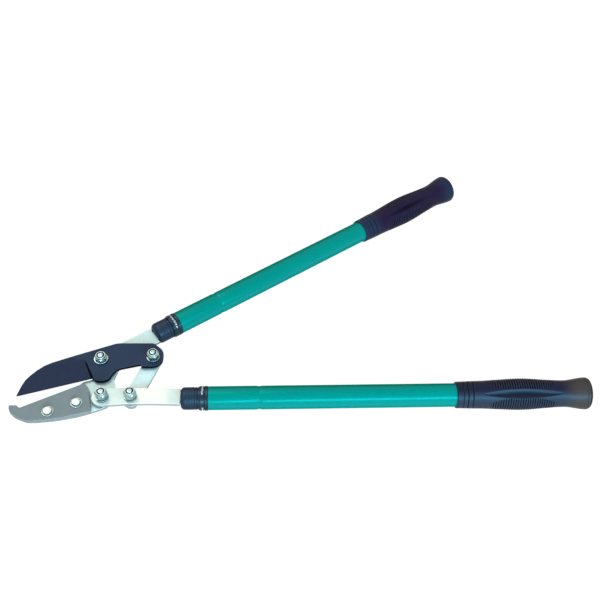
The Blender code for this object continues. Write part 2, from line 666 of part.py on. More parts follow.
def build_lock_ring(name, parent, mats):
    """Twist ring round the inner tube that holds the collet's nose."""
    radius = RING_DIAMETER / 2
    bore = INNER_TUBE_DIAMETER / 2 + CLEARANCE
    nose = TUBE_DIAMETER / 2 - TUBE_WALL
    front = RING_FRONT
    rear = front + RING_LENGTH
    step = -COLLET_NOSE - CLEARANCE
    profile = [(front, bore), (front, radius - RING_CHAMFER), (front + RING_CHAMFER, radius),
               (rear - RING_CHAMFER, radius), (rear, radius - RING_CHAMFER), (rear, nose), (step, nose), (step, bore)]
    return turned(name, profile, ROUND_SIDES, 'X', mats["sleeve"], parent)


def build_collet(name, parent, mats):
    """Split bush between the two tubes, behind the lock ring."""
    outer = TUBE_DIAMETER / 2 - TUBE_WALL - CLEARANCE
    bore = INNER_TUBE_DIAMETER / 2 + CLEARANCE
    profile = [(-COLLET_NOSE, bore), (-COLLET_NOSE, outer), (COLLET_LENGTH, outer), (COLLET_LENGTH, bore)]
    return turned(name, profile, ROUND_SIDES, 'X', mats["nylon"], parent)


def build_outer_tube(name, parent, mats):
    """Painted tube with one shallow crimp round it."""
    radius = TUBE_DIAMETER / 2
    bore = radius - TUBE_WALL
    half = CRIMP_WIDTH / 2
    deep = radius - CRIMP_DEPTH
    profile = [(0.0, bore), (0.0, radius), (CRIMP_POSITION - half, radius), (CRIMP_POSITION - 0.4 * half, deep),
               (CRIMP_POSITION + 0.4 * half, deep), (CRIMP_POSITION + half, radius), (TUBE_LENGTH, radius),
               (TUBE_LENGTH, bore)]
    return turned(name, profile, ROUND_SIDES, 'X', mats["paint"], parent)


def smooth_step(share):
    """Ease from 0 to 1 with no slope at either end."""
    share = min(1.0, max(0.0, share))
    return share * share * (3.0 - 2.0 * share)


def grip_base_radius(x):
    """Plain radius of the grip's body at a distance from its front end."""
    stations = [(0.0, GRIP_FRONT_DIAMETER), (GRIP_COLLAR_LENGTH, GRIP_COLLAR_DIAMETER),
                (GRIP_BELLY_POSITION, GRIP_BELLY_DIAMETER), (GRIP_NECK_POSITION, GRIP_NECK_DIAMETER),
                (GRIP_LENGTH - GRIP_BULB_ROUNDING, GRIP_BULB_DIAMETER)]
    for (x0, d0), (x1, d1) in zip(stations, stations[1:]):
        if x <= x1:
            return (d0 + (d1 - d0) * smooth_step((x - x0) / (x1 - x0))) / 2
    return GRIP_BULB_DIAMETER / 2


def scoop_share(x, angle):
    """How deep inside a smooth lens-shaped scoop a point lies: 0 outside, 1 on its middle line."""
    along = (x - SCOOP_START) / SCOOP_LENGTH
    if along <= 0.0 or along >= 1.0:
        return 0.0
    half = SCOOP_HALF_ANGLE * math.sin(math.pi * along) ** 0.7
    period = 2 * math.pi / SCOOP_COUNT
    away = abs((angle - SCOOP_ROLL + period / 2) % period - period / 2)
    return smooth_step((half - away) / (0.5 * SCOOP_HALF_ANGLE))


def grip_angles():
    """Angles of the grip's lengthwise edges, closer together in and beside the scoops."""
    period = 2 * math.pi / SCOOP_COUNT
    edge = SCOOP_HALF_ANGLE
    gap = (period - 2 * edge) / 4
    steps = (-edge, -0.5 * edge, 0.5 * edge, edge, edge + gap, edge + 2 * gap, edge + 3 * gap)
    return [SCOOP_ROLL + period * index + step for index in range(SCOOP_COUNT) for step in steps]


def grip_rows():
    """Stations along the grip with their groove or rib depth."""
    rows = [(0.0, 1.0 * MM), (1.2 * MM, 0.0)]
    for index in range(2):
        middle = GRIP_COLLAR_LENGTH - (2.2 - index) * GRIP_GROOVE_PITCH
        rows += [(middle - 0.9 * MM, 0.0), (middle - 0.4 * MM, GRIP_GROOVE_DEPTH),
                 (middle + 0.4 * MM, GRIP_GROOVE_DEPTH), (middle + 0.9 * MM, 0.0)]
    rows.append((GRIP_COLLAR_LENGTH, 0.0))
    rows.append((RIB_START - RIB_PITCH, 0.0))
    for index in range(RIB_COUNT):
        start = RIB_START + index * RIB_PITCH
        rows += [(start, RIB_DEPTH), (start + RIB_PITCH / 2, 0.0)]
    end = RIB_START + RIB_COUNT * RIB_PITCH
    bulb = GRIP_LENGTH - GRIP_BULB_ROUNDING
    for share in (0.25, 0.5, 0.68, 0.84, 1.0):
        rows.append((end + (bulb - end) * share, 0.0))
    return rows


def build_grip(name, parent, mats):
    """Moulded grip: ringed collar, cross ribs between smooth scoops, neck and flared round end."""
    start = TUBE_VISIBLE
    bore = TUBE_DIAMETER / 2 + CLEARANCE
    blind = start + GRIP_SOCKET + CLEARANCE
    angles = grip_angles()

    def loop(bm, x, radii):
        return [bm.verts.new((start + x, -r * math.sin(a), r * math.cos(a))) for r, a in zip(radii, angles)]

    bm = bmesh.new()
    loops = []
    for x, groove in grip_rows():
        base = grip_base_radius(x)
        radii = []
        for angle in angles:
            scoop = scoop_share(x, angle)
            ribbed = RIB_START - RIB_PITCH < x < RIB_START + RIB_COUNT * RIB_PITCH
            depth = groove * (1.0 - smooth_step(3.0 * scoop)) if ribbed else groove
            radii.append(base - depth - SCOOP_DEPTH * scoop)
        loops.append(loop(bm, x, radii))
    rounding = GRIP_BULB_ROUNDING
    for step in (1, 2, 3):
        turn = math.pi / 2 * step / 3
        x = GRIP_LENGTH - rounding + (rounding - 0.8 * MM) * math.sin(turn)
        radius = GRIP_BULB_DIAMETER / 2 - rounding * (1 - math.cos(turn))
        loops.append(loop(bm, x, [radius] * len(angles)))
    for lower, upper in zip(loops, loops[1:]):
        bridge(bm, lower, upper)
    pole = bm.verts.new((start + GRIP_LENGTH, 0.0, 0.0))
    mouth = loop(bm, 0.0, [bore] * len(angles))
    floor = loop(bm, blind - start, [bore] * len(angles))
    bridge(bm, mouth, loops[0])
    bridge(bm, floor, mouth)
    bm.faces.new(floor)
    last = loops[-1]
    for index, vert in enumerate(last):
        bm.faces.new((vert, last[(index + 1) % len(last)], pole))
    return finish(name, bm, mats["grip"], parent, True)


def build_handle(side, fixed_parent, plate_bottom, mats):
    """One telescopic handle on its own axis: the fixed front part and the sliding rear part."""
    build_sleeve(side + "_front_sleeve", plate_bottom, fixed_parent, mats)
    build_inner_tube(side + "_inner_tube", fixed_parent, mats)
    build_guide_plug(side + "_guide_plug", fixed_parent, mats)
    slider = make_empty(side + "_slide_axis", fixed_parent, (0.0, 0.0, 0.0), 0.0)
    build_lock_ring(side + "_lock_ring", slider, mats)
    build_collet(side + "_collet", slider, mats)
    build_outer_tube(side + "_outer_tube", slider, mats)
    build_grip(side + "_grip", slider, mats)


def centre_model(root):
    """Move the root so that the origin lies under the middle of the lopper, on the floor."""
    bpy.context.view_layer.update()
    low = Vector((1e9, 1e9, 1e9))
    high = Vector((-1e9, -1e9, -1e9))
    for obj in bpy.data.objects:
        if obj.type != 'MESH' or obj.hide_render:
            continue
        for vert in obj.data.vertices:
            place = obj.matrix_world @ vert.co
            low = Vector(map(min, low, place))
            high = Vector(map(max, high, place))
    root.location = (-(low.x + high.x) / 2, -(low.y + high.y) / 2, -low.z)
    bpy.context.view_layer.update()
    return high - low


def main():
    """Build the whole lopper and print the places of its joints."""
    clear_scene()
    mats = {
        "blade": make_material("black_coated_steel", 50, 60, 82, 0.45, 0.35),
        "anvil": make_material("grey_coated_steel", 132, 144, 144, 0.5, 0.4),
        "plated": make_material("bright_plated_steel", 214, 226, 220, 0.28, 0.85),
        "zinc": make_material("zinc_plated_hardware", 190, 204, 206, 0.3, 0.9),
        "nylon": make_material("dark_nylon", 52, 56, 60, 0.5, 0.0),
        "sleeve": make_material("black_moulded_plastic", 40, 44, 60, 0.4, 0.0),
        "paint": make_material("green_painted_tube", 0, 153, 137, 0.35, 0.0),
        "grip": make_material("black_soft_grip", 36, 34, 50, 0.5, 0.0),
    }
    blade_pivot, blade_angle, link_angle = solve_linkage(REST_OPENING)
    root = make_empty("lopper", None, (0.0, 0.0, 0.0), 0.0)
    carrier = make_empty("upper_handle_frame", root, (blade_pivot.x, blade_pivot.y, 0.0), REST_OPENING)
    blade_axis = make_empty("blade_axis", root, (blade_pivot.x, blade_pivot.y, 0.0), blade_angle)
    lever_axis = make_empty("lever_axis", root, (0.0, 0.0, 0.0), 0.0)
    link_axis = make_empty("link_axis", root, (LEVER_PIVOT_TO_LINK, 0.0, 0.0), link_angle)
    lever_bolt_axis = make_empty("lever_bolt_axis", carrier, (LEVER_PIVOT_X, LEVER_PIVOT_Y, 0.0), -REST_OPENING)
    blade_link_axis = make_empty("blade_link_axis", blade_axis, (BLADE_PIVOT_TO_LINK, 0.0, 0.0), 0.0)
    lever_link_axis = make_empty("lever_link_axis", lever_axis, (LEVER_PIVOT_TO_LINK, 0.0, 0.0), 0.0)

    build_carrier(carrier, mats)
    build_anvil(carrier, mats)
    build_rivet("anvil_rivet_front", FRONT_RIVET_X, FRONT_RIVET_Y, carrier, mats)
    build_rivet("anvil_rivet_rear", REAR_RIVET_X, REAR_RIVET_Y, carrier, mats)
    build_blade(blade_axis, mats)
    build_lever(lever_axis, mats)
    build_link(link_axis, mats)

    pivot_stack("blade_pivot", carrier, LOW_NUT_HEIGHT, LOW_BOLT_END, WASHER_DIAMETER, mats)
    pivot_stack("lever_pivot", lever_bolt_axis, TALL_NUT_HEIGHT, TALL_BOLT_END, SMALL_WASHER_DIAMETER, mats)
    pivot_stack("blade_link", blade_link_axis, MIDDLE_NUT_HEIGHT, LOW_BOLT_END, SMALL_WASHER_DIAMETER, mats)
    pivot_stack("lever_link", lever_link_axis, TALL_NUT_HEIGHT, TALL_BOLT_END, SMALL_WASHER_DIAMETER, mats)

    upper = make_empty("upper_tube_frame", carrier, (UPPER_REACH, 0.0, 0.0), 0.0)
    lower = make_empty("lower_tube_frame", lever_axis, (LOWER_REACH, 0.0, 0.0), 0.0)
    build_handle("upper", upper, LOW_BOTTOM, mats)
    build_handle("lower", lower, HIGH_BOTTOM, mats)

    size = centre_model(root)
    print("overall size in mm: %.2f x %.2f x %.2f" % tuple(v / MM for v in size))
    for name in ("blade_axis", "lever_axis", "link_axis", "blade_link_axis", "lever_link_axis",
                 "upper_tube_frame", "lower_tube_frame"):
        place = bpy.data.objects[name].matrix_world
        angle = math.degrees(place.to_euler().z)
        print("%s at %.6f %.6f %.6f m, turned %.3f degrees" % ((name,) + tuple(place.translation) + (angle,)))


main()
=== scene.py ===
"""Looks of a telescopic anvil lopper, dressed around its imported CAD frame.

The frame, the camera and the lamps are in metres, with +X along the lower handle and +Z up. New pieces are
modelled in millimetres in their own axes, and the matrix that places them also scales them. A handle's origin
is at its painted tube's front end, with +X towards the grip. A pivot's or a rivet's +X points up.
"""

import json
import logging
import math
from dataclasses import dataclass, field, replace
from enum import Enum

import bmesh
import bpy
from bmesh.types import BMesh, BMVert
from bpy.types import Material, Node, NodeSocket, NodeTree, Object
from mathutils import Matrix, Quaternion, Vector


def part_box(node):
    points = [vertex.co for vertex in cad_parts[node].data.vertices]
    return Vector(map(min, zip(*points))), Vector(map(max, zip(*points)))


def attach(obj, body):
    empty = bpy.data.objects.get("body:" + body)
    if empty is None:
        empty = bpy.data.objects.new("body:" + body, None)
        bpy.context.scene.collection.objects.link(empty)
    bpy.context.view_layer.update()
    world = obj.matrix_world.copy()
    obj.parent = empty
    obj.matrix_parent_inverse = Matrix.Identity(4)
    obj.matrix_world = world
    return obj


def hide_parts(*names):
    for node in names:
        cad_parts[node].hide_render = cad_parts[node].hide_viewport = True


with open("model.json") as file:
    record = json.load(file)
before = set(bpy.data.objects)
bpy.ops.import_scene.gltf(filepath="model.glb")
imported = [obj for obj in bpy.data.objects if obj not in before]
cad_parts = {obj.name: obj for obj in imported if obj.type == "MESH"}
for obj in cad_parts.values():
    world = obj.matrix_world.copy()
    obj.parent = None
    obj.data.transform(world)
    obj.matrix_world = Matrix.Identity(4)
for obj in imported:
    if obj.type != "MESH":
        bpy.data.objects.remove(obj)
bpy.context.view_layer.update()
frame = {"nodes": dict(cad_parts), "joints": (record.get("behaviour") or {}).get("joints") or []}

MM = 0.001
LOG = logging.getLogger("lopper")
Colour = tuple[float, float, float, float]
Triple = tuple[float, float, float]
Station = tuple[float, float]
Span = tuple[float, float]
Coat = tuple[Node | NodeSocket, float, float, float, str]
UNSTRETCHED: Triple = (1.0, 1.0, 1.0)
WHITE: Colour = (1.0, 1.0, 1.0, 1.0)
# Setting of a Map Range node that eases at both ends.
SMOOTH = {"interpolation_type": 'SMOOTHSTEP'}


class Side(Enum):
    """The two handles."""

    UPPER = "upper"
    LOWER = "lower"


class Body(Enum):
    """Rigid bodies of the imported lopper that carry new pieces, apart from each handle's slider and ring."""

    FRAME = "frame"
    BLADE = "blade"
    LEVER = "lower_lever"


def linear(code: str) -> Colour:
    """Turn an sRGB hex colour into a linear one.

    Args:
        code: Six hex digits with a leading hash.

    Returns:
        Linear red, green and blue, and an alpha of 1.
    """
    shares = [int(code[i:i + 2], 16) / 255 for i in (1, 3, 5)]
    curve = [s / 12.92 if s <= 0.04045 else ((s + 0.055) / 1.055) ** 2.4 for s in shares]
    return (curve[0], curve[1], curve[2], 1.0)


def joint_place(name: str) -> tuple[Vector, Vector]:
    """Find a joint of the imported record.

    Args:
        name: The joint's name.

    Returns:
        A point on its axis and the axis direction.
    """
    joint = next(joint for joint in frame["joints"] if joint["name"] == name)
    return Vector(joint.get("pos_m", (0.0, 0.0, 0.0))), Vector(joint["axis"])


def levels(node: str) -> tuple[float, float]:
    """Lowest and highest level of a CAD node, in millimetres."""
    low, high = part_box(node)
    return low.z / MM, high.z / MM


def upright_place(node: str) -> Matrix:
    """Place of a piece turned about +X, in millimetres, that stands on a CAD node's upright axis.

    Args:
        node: The CAD node's name.

    Returns:
        The scaling and placing matrix, which makes a local X the same level in the frame.
    """
    low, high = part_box(node)
    middle = (low + high) / 2
    standing = Matrix.Rotation(-math.pi / 2, 4, 'Y') @ Matrix.Scale(MM, 4)
    return Matrix.Translation((middle.x, middle.y, 0.0)) @ standing


def feed(tree: NodeTree, node: Node, inputs: dict | tuple) -> None:
    """Set or link a node's inputs.

    Args:
        tree: The node tree.
        node: The node that takes them.
        inputs: Values, sockets or nodes, by the inputs' names or numbers, or in their order.
    """
    for key, value in inputs.items() if isinstance(inputs, dict) else enumerate(inputs):
        if isinstance(value, Node):
            value = value.outputs[0]
        if isinstance(value, NodeSocket):
            tree.links.new(value, node.inputs[key])
        else:
            node.inputs[key].default_value = value


def add_node(tree: NodeTree, kind: str, inputs: dict | tuple = (), **settings: object) -> Node:
    """Add one node with its settings, values and links.

    Args:
        tree: The node tree that gets it.
        kind: The node's type name after ShaderNode.
        inputs: What feed takes.
        settings: The node's attributes.

    Returns:
        The new node.
    """
    node = tree.nodes.new("ShaderNode" + kind)
    for name, value in settings.items():
        setattr(node, name, value)
    feed(tree, node, inputs)
    return node


def lay(tree: NodeTree, colour: NodeSocket | Colour, coats: list[Coat]) -> NodeSocket:
    """Lay coats of colour over one another, each where a value runs from one limit to another.

    Args:
        tree: The node tree.
        colour: The colour underneath.
        coats: For each, the value, where the coat starts, where it is full, its full share and its colour.

    Returns:
        The colour on top.
    """
    for value, start, full, most, over in coats:
        share = add_node(tree, "MapRange", (value, start, full, 0.0, most), **SMOOTH)
        colour = add_node(tree, "Mix", {0: share, 6: colour, 7: linear(over)}, data_type='RGBA').outputs[2]
    return colour


@dataclass(frozen=True)
class Finish:
    """A real material and its surface, drawn by procedural nodes on Object coordinates.

    Real grain finer than about 0.3 mm would not show, so it is drawn coarser, at grain_mm. Of each span, the
    first value is where an effect starts and the second is where it is full.
    """

    name: str
    colour: str
    metallic: float = 0.0
    roughness: float = 0.4
    roughness_spread: float = 0.08
    grain_mm: float = 1.0
    grain_detail: float = 5.0
    grain_roughness: float = 0.65
    grain_cloud: Span = (0.3, 0.7)
    grain_depth_mm: float = 0.02
    mottle: str = ""
    mottle_mm: float = 12.0
    mottle_cloud: Span = (0.35, 0.7)
    mottle_share: float = 0.25
    edge: str = ""
    edge_mm: float = 0.4
    edge_facing: Span = (0.995, 0.93)
    edge_share: float = 0.6
    # Tone of upright faces, partly their duller sheared metal and partly painted light: painted shade on the
    # plates' and blade's sides, and a paler, warmer painted tone on the anvil's sides for how the front lamp
    # lights them.
    side: str = ""
    side_tilt: Span = (0.75, 0.35)
    # Painted shade: a darker colour in corners and recesses, where ambient occlusion finds them.
    crevice_shade: str = ""
    crevice_shade_mm: float = 2.0
    crevice_shade_openness: Span = (0.8, 0.2)
    crevice_shade_share: float = 0.8
    specular: float = 0.5
    specular_tint: str = "#ffffff"
    rim: float = 1.0
    rim_facing: Span = (0.2, 0.5)

    def start(self) -> tuple[Material, Node]:
        """Make the material with its unvarying values on the shader's own sockets.

        Returns:
            The material and its Principled shader.
        """
        material = bpy.data.materials.new(self.name)
        material.use_nodes = True
        material.diffuse_color = linear(self.colour)
        tree = material.node_tree
        shader = tree.nodes["Principled BSDF"]
        feed(tree, shader, {"Base Color": linear(self.colour), "Metallic": self.metallic,
                            "Specular IOR Level": self.specular, "Specular Tint": linear(self.specular_tint)})
        if self.rim < 1.0:
            facing = add_node(tree, "LayerWeight", {"Blend": 0.5}).outputs["Facing"]
            limits = (facing, *self.rim_facing, self.specular, self.specular * self.rim)
            feed(tree, shader, {"Specular IOR Level": add_node(tree, "MapRange", limits, **SMOOTH)})
        return material, shader

    @staticmethod
    def pattern_space(tree: NodeTree, turn: float, stretch: Triple) -> Node:
        """Object coordinates turned to a piece's own direction and stretched along it.

        Args:
            tree: The node tree.
            turn: Angle of the piece's length about +Z, in radians.
            stretch: Scale of the pattern along each local axis.

        Returns:
            The node of the coordinates.
        """
        place = add_node(tree, "TexCoord").outputs["Object"]
        return add_node(tree, "Mapping", {"Vector": place, "Rotation": (0.0, 0.0, -turn), "Scale": stretch})

    @staticmethod
    def steepness(tree: NodeTree) -> Node:
        """Size of the face normal's Z: 1 on a level face and 0 on an upright one.

        Args:
            tree: The node tree.

        Returns:
            The node of the size.
        """
        normal = add_node(tree, "NewGeometry").outputs["True Normal"]
        upright = add_node(tree, "SeparateXYZ", (normal,)).outputs["Z"]
        return add_node(tree, "Math", (upright,), operation='ABSOLUTE')

    def body_colour(self, tree: NodeTree, space: Node) -> NodeSocket:
        """Base colour with broad mottling, worn edges, a tone on upright faces that is partly sheared metal
        and partly painted light, and painted shade in corners.

        Args:
            tree: The node tree.
            space: Pattern coordinates.

        Returns:
            The colour.
        """
        scale = 1 / (self.mottle_mm * MM)
        cloud = add_node(tree, "TexNoise", {"Vector": space, "Scale": scale, "Detail": 4.0, "Roughness": 0.6})
        coats = [(cloud, *self.mottle_cloud, self.mottle_share, self.mottle or self.colour)]
        if self.edge:
            rounded = add_node(tree, "Bevel", {"Radius": self.edge_mm * MM}, samples=6)
            plain = add_node(tree, "NewGeometry").outputs["Normal"]
            facing = add_node(tree, "VectorMath", (rounded, plain), operation='DOT_PRODUCT').outputs["Value"]
            coats.append((facing, *self.edge_facing, self.edge_share, self.edge))
        # Upright faces get their tone here: partly sheared metal, partly painted light and shade.
        if self.side:
            coats.append((self.steepness(tree), *self.side_tilt, 1.0, self.side))
        # Painted shade in corners and recesses.
        if self.crevice_shade:
            reach = {"Distance": self.crevice_shade_mm * MM}
            openness = add_node(tree, "AmbientOcclusion", reach, samples=8).outputs["AO"]
            coats.append((openness, *self.crevice_shade_openness, self.crevice_shade_share, self.crevice_shade))
        return lay(tree, linear(self.colour), coats)

    def grain(self, tree: NodeTree, space: Node) -> Node:
        """Fine even noise, as coarse as it needs to be to show."""
        scale = 1 / (self.grain_mm * MM)
        return add_node(tree, "TexNoise", {"Vector": space, "Scale": scale, "Detail": self.grain_detail,
                                           "Roughness": self.grain_roughness})

    def surface(self, tree: NodeTree, shader: Node, pattern: Node) -> None:
        """Give the shader its uneven roughness and its fine relief.

        Args:
            tree: The node tree.
            shader: The Principled shader.
            pattern: The noise that both follow.
        """
        low = self.roughness - self.roughness_spread
        high = self.roughness + self.roughness_spread
        relief = {"Strength": 1.0, "Distance": self.grain_depth_mm * MM, "Height": pattern}
        uneven = add_node(tree, "MapRange", (pattern, *self.grain_cloud, low, high), **SMOOTH)
        feed(tree, shader, {"Roughness": uneven, "Normal": add_node(tree, "Bump", relief)})

    @staticmethod
    def dull(tree: NodeTree, shader: Node, share: Node, least: float) -> None:
        """Lower the specular level where a share rises.

        Args:
            tree: The node tree.
            shader: The Principled shader, whose level is linked already.
            share: How far the level is lowered, from 0 to 1.
            least: What is left of it at a share of 1.
        """
        level = shader.inputs["Specular IOR Level"].links[0].from_socket
        kept = add_node(tree, "MapRange", (share, 0.0, 1.0, 1.0, least), **SMOOTH)
        lowered = add_node(tree, "Math", (level, kept), operation='MULTIPLY')
        feed(tree, shader, {"Specular IOR Level": lowered})

    def build(self, turn: float = 0.0, stretch: Triple = UNSTRETCHED) -> Material:
        """Make the finished material.

        Args:
            turn: Angle of the piece's length about +Z, in radians.
            stretch: Scale of the pattern along each local axis.

        Returns:
            The material.
        """
        material, shader = self.start()
        tree = material.node_tree
        space = self.pattern_space(tree, turn, stretch)
        feed(tree, shader, {"Base Color": self.body_colour(tree, space)})
        self.surface(tree, shader, self.grain(tree, space))
        return material


@dataclass(frozen=True)
class GroundBladeFinish(Finish):
    """Low-friction coat over stamped and ground steel: satin, with a darker ground face and fine grind lines.

    Real grind lines are about 0.1 mm apart and would not show, so they are drawn at line_mm. The shoulder is
    the grind's rear line, drawn dark as painted shade: lean is its direction, and it starts at the cutting
    edge.
    """

    grain_detail: float = 4.0
    grain_roughness: float = 0.6
    ground: str = "#1e2a42"
    ground_tilt: Span = (0.99975, 0.9992)
    broad_tilt: Span = (0.95, 0.97)
    worked_mm: Span = (2.0, -16.0)
    worked_share: float = 0.75
    line_mm: float = 0.9
    line_stretch: float = 0.06
    turn_deg: float = 16.0
    # Colour of the painted shade line along the grind's shoulder.
    shoulder: str = "#080a12"
    shoulder_mm: tuple[float, float] = (-242.9, -142.2)
    lean: tuple[float, float] = (-0.3946, 0.9188)
    shoulder_length_mm: float = 28.0
    shoulder_taper: float = 0.022
    shoulder_fade_mm: Span = (1.9, 0.9)
    shoulder_gloss: float = 0.1

    def along_and_across(self, tree: NodeTree) -> list[NodeSocket]:
        """Distances along the shoulder line and across it towards the boss, from the line's start.

        Args:
            tree: The node tree.

        Returns:
            Both distances, in metres.
        """
        place = add_node(tree, "TexCoord").outputs["Object"]
        start = (self.shoulder_mm[0] * MM, self.shoulder_mm[1] * MM, 0.0)
        offset = add_node(tree, "VectorMath", (place, start), operation='SUBTRACT')
        x, y = self.lean
        return [add_node(tree, "VectorMath", (offset, direction), operation='DOT_PRODUCT').outputs["Value"]
                for direction in ((x, y, 0.0), (y, -x, 0.0))]

    def shoulder_shade_share(self, tree: NodeTree, along: NodeSocket, across: NodeSocket) -> Node:
        """Share of the painted shade line along the grind's shoulder, thicker at the cutting edge.

        Args:
            tree: The node tree.
            along: Distance along the line.
            across: Distance from it.

        Returns:
            The node of the share.
        """
        away = add_node(tree, "Math", (across,), operation='ABSOLUTE')
        thinned = add_node(tree, "Math", (along, self.shoulder_taper, away), operation='MULTIPLY_ADD')
        outside, core = (reach * MM for reach in self.shoulder_fade_mm)
        line = add_node(tree, "MapRange", (thinned, outside, core), **SMOOTH)
        length = self.shoulder_length_mm * MM
        inside = add_node(tree, "MapRange", (along, length, 0.8 * length), **SMOOTH)
        return add_node(tree, "Math", (line, inside), operation='MULTIPLY')

    def build(self, turn: float = 0.0, stretch: Triple = UNSTRETCHED) -> Material:
        """Make the material, with the ground face picked out by its tilt and its place.

        Args:
            turn: Angle of the piece's length about +Z, in radians.
            stretch: Scale of the pattern along each local axis.

        Returns:
            The material.
        """
        material, shader = self.start()
        tree = material.node_tree
        space = self.pattern_space(tree, turn, stretch)
        along, across = self.along_and_across(tree)
        steepness = self.steepness(tree)
        tilted = add_node(tree, "MapRange", (steepness, *self.ground_tilt), **SMOOTH)
        broad = add_node(tree, "MapRange", (steepness, *self.broad_tilt), **SMOOTH)
        ground = add_node(tree, "Math", (tilted, broad), operation='MULTIPLY')
        unworked, full = (reach * MM for reach in self.worked_mm)
        worked = add_node(tree, "MapRange", (across, unworked, full, 0.0, self.worked_share), **SMOOTH)
        darker = add_node(tree, "Math", (ground, worked), operation='MAXIMUM')
        # Painted shade along the grind's shoulder, which also dulls the gloss there.
        line = self.shoulder_shade_share(tree, along, across)
        colour = self.body_colour(tree, space)
        for share, over in ((darker, self.ground), (line, self.shoulder)):
            inputs = {0: share, 6: colour, 7: linear(over)}
            colour = add_node(tree, "Mix", inputs, data_type='RGBA').outputs[2]
        feed(tree, shader, {"Base Color": colour})
        self.dull(tree, shader, line, self.shoulder_gloss)
        turned = self.pattern_space(tree, math.radians(self.turn_deg), (1.0, self.line_stretch, 1.0))
        lines = add_node(tree, "TexNoise", {"Vector": turned, "Scale": 1 / (self.line_mm * MM), "Detail": 3.0,
                                            "Roughness": 0.7})
        pattern = add_node(tree, "Mix", {0: ground, 2: self.grain(tree, space), 3: lines})
        self.surface(tree, shader, pattern)
        return material


@dataclass(frozen=True)
class PaintedHighlightBarFinish(Finish):
    """Plated bar with a painted highlight: paler and warmer in the middle of its length."""

    # Painted highlight on the bar's top: its colour, where it starts, is full, fades and ends along X, and
    # its share.
    painted_highlight: str = "#f8f4e4"
    painted_highlight_mm: tuple[float, float, float, float] = (-212.0, -184.0, -168.0, -142.0)
    painted_highlight_share: float = 0.85
    top_tilt: Span = (0.3, 0.8)

    def body_colour(self, tree: NodeTree, space: Node) -> NodeSocket:
        """Base colour with the painted highlight over it, on level faces alone.

        Args:
            tree: The node tree.
            space: Pattern coordinates.

        Returns:
            The colour.
        """
        place = add_node(tree, "TexCoord").outputs["Object"]
        along = add_node(tree, "SeparateXYZ", (place,)).outputs["X"]
        share = add_node(tree, "MapRange", (self.steepness(tree), *self.top_tilt), **SMOOTH)
        start, full, fade, end = (reach * MM for reach in self.painted_highlight_mm)
        # Painted highlight: full between the two inner places, fading out towards the outer ones.
        for unlit, lit in ((start, full), (end, fade)):
            inside = add_node(tree, "MapRange", (along, unlit, lit), **SMOOTH)
            share = add_node(tree, "Math", (share, inside), operation='MULTIPLY')
        plain = super().body_colour(tree, space)
        return lay(tree, plain, [(share, 0.0, 1.0, self.painted_highlight_share, self.painted_highlight)])


@dataclass(frozen=True)
class GripFinish(Finish):
    """Moulded grip rubber with painted light: painted highlights on the rib tops, painted shade in the gaps,
    grooves and scoop floors, a painted sheen on the flank that faces the front lamp, and a tinted collar and
    flared end that are partly painted reflection.

    Places along the grip are in millimetres from its front end. That end's own place is front, in metres.
    """

    front: float = 0.0
    # Painted highlight on the rib tops and painted shade in the gaps, grooves and scoop floors, placed by the
    # relief attribute; the gaps also lose gloss.
    rib_top_highlight: str = "#221e32"
    rib_relief: Span = (0.1, 0.9)
    rib_gap_shade: str = "#040408"
    gap_relief: Span = (-0.05, -0.7)
    gap_gloss: float = 0.15
    # Painted sheen on the flank that faces the front lamp; on the upper grip the same colour is a painted
    # reflection on the collar.
    flank_sheen: str = "#303a44"
    flank_side: Triple = (0.0, -0.94, 0.34)
    flank_facing: Span = (0.5, 0.95)
    flank_share: float = 0.7
    collar_mm: Span = (34.0, 14.0)
    collar_share: float = 0.0
    # Tone of the flared end: browner on the lower grip, and on the upper grip a painted bluish reflection.
    end_tone_and_sheen: str = "#4a3c34"
    end_mm: Span = (118.0, 142.0)
    end_share: float = 0.9

    def build(self, turn: float = 0.0, stretch: Triple = UNSTRETCHED) -> Material:
        """Make the material, with its tints placed by the grip's relief, side and length.

        Args:
            turn: Angle of the piece's length about +Z, in radians.
            stretch: Scale of the pattern along each local axis.

        Returns:
            The material.
        """
        material, shader = self.start()
        tree = material.node_tree
        space = self.pattern_space(tree, turn, stretch)
        along = add_node(tree, "SeparateXYZ", (space,)).outputs["X"]
        relief = add_node(tree, "Attribute", attribute_name="relief").outputs["Fac"]
        normal = add_node(tree, "TexCoord").outputs["Normal"]
        facing = add_node(tree, "VectorMath", (normal, self.flank_side), operation='DOT_PRODUCT')
        collar = [self.front + reach * MM for reach in self.collar_mm]
        end = [self.front + reach * MM for reach in self.end_mm]
        coats = [(relief, *self.rib_relief, 1.0, self.rib_top_highlight),
                 (facing.outputs["Value"], *self.flank_facing, self.flank_share, self.flank_sheen),
                 (along, *collar, self.collar_share, self.flank_sheen),
                 (along, *end, self.end_share, self.end_tone_and_sheen),
                 (relief, *self.gap_relief, 1.0, self.rib_gap_shade)]
        feed(tree, shader, {"Base Color": lay(tree, self.body_colour(tree, space), coats)})
        gap = add_node(tree, "MapRange", (relief, *self.gap_relief), **SMOOTH)
        self.dull(tree, shader, gap, self.gap_gloss)
        self.surface(tree, shader, self.grain(tree, space))
        return material


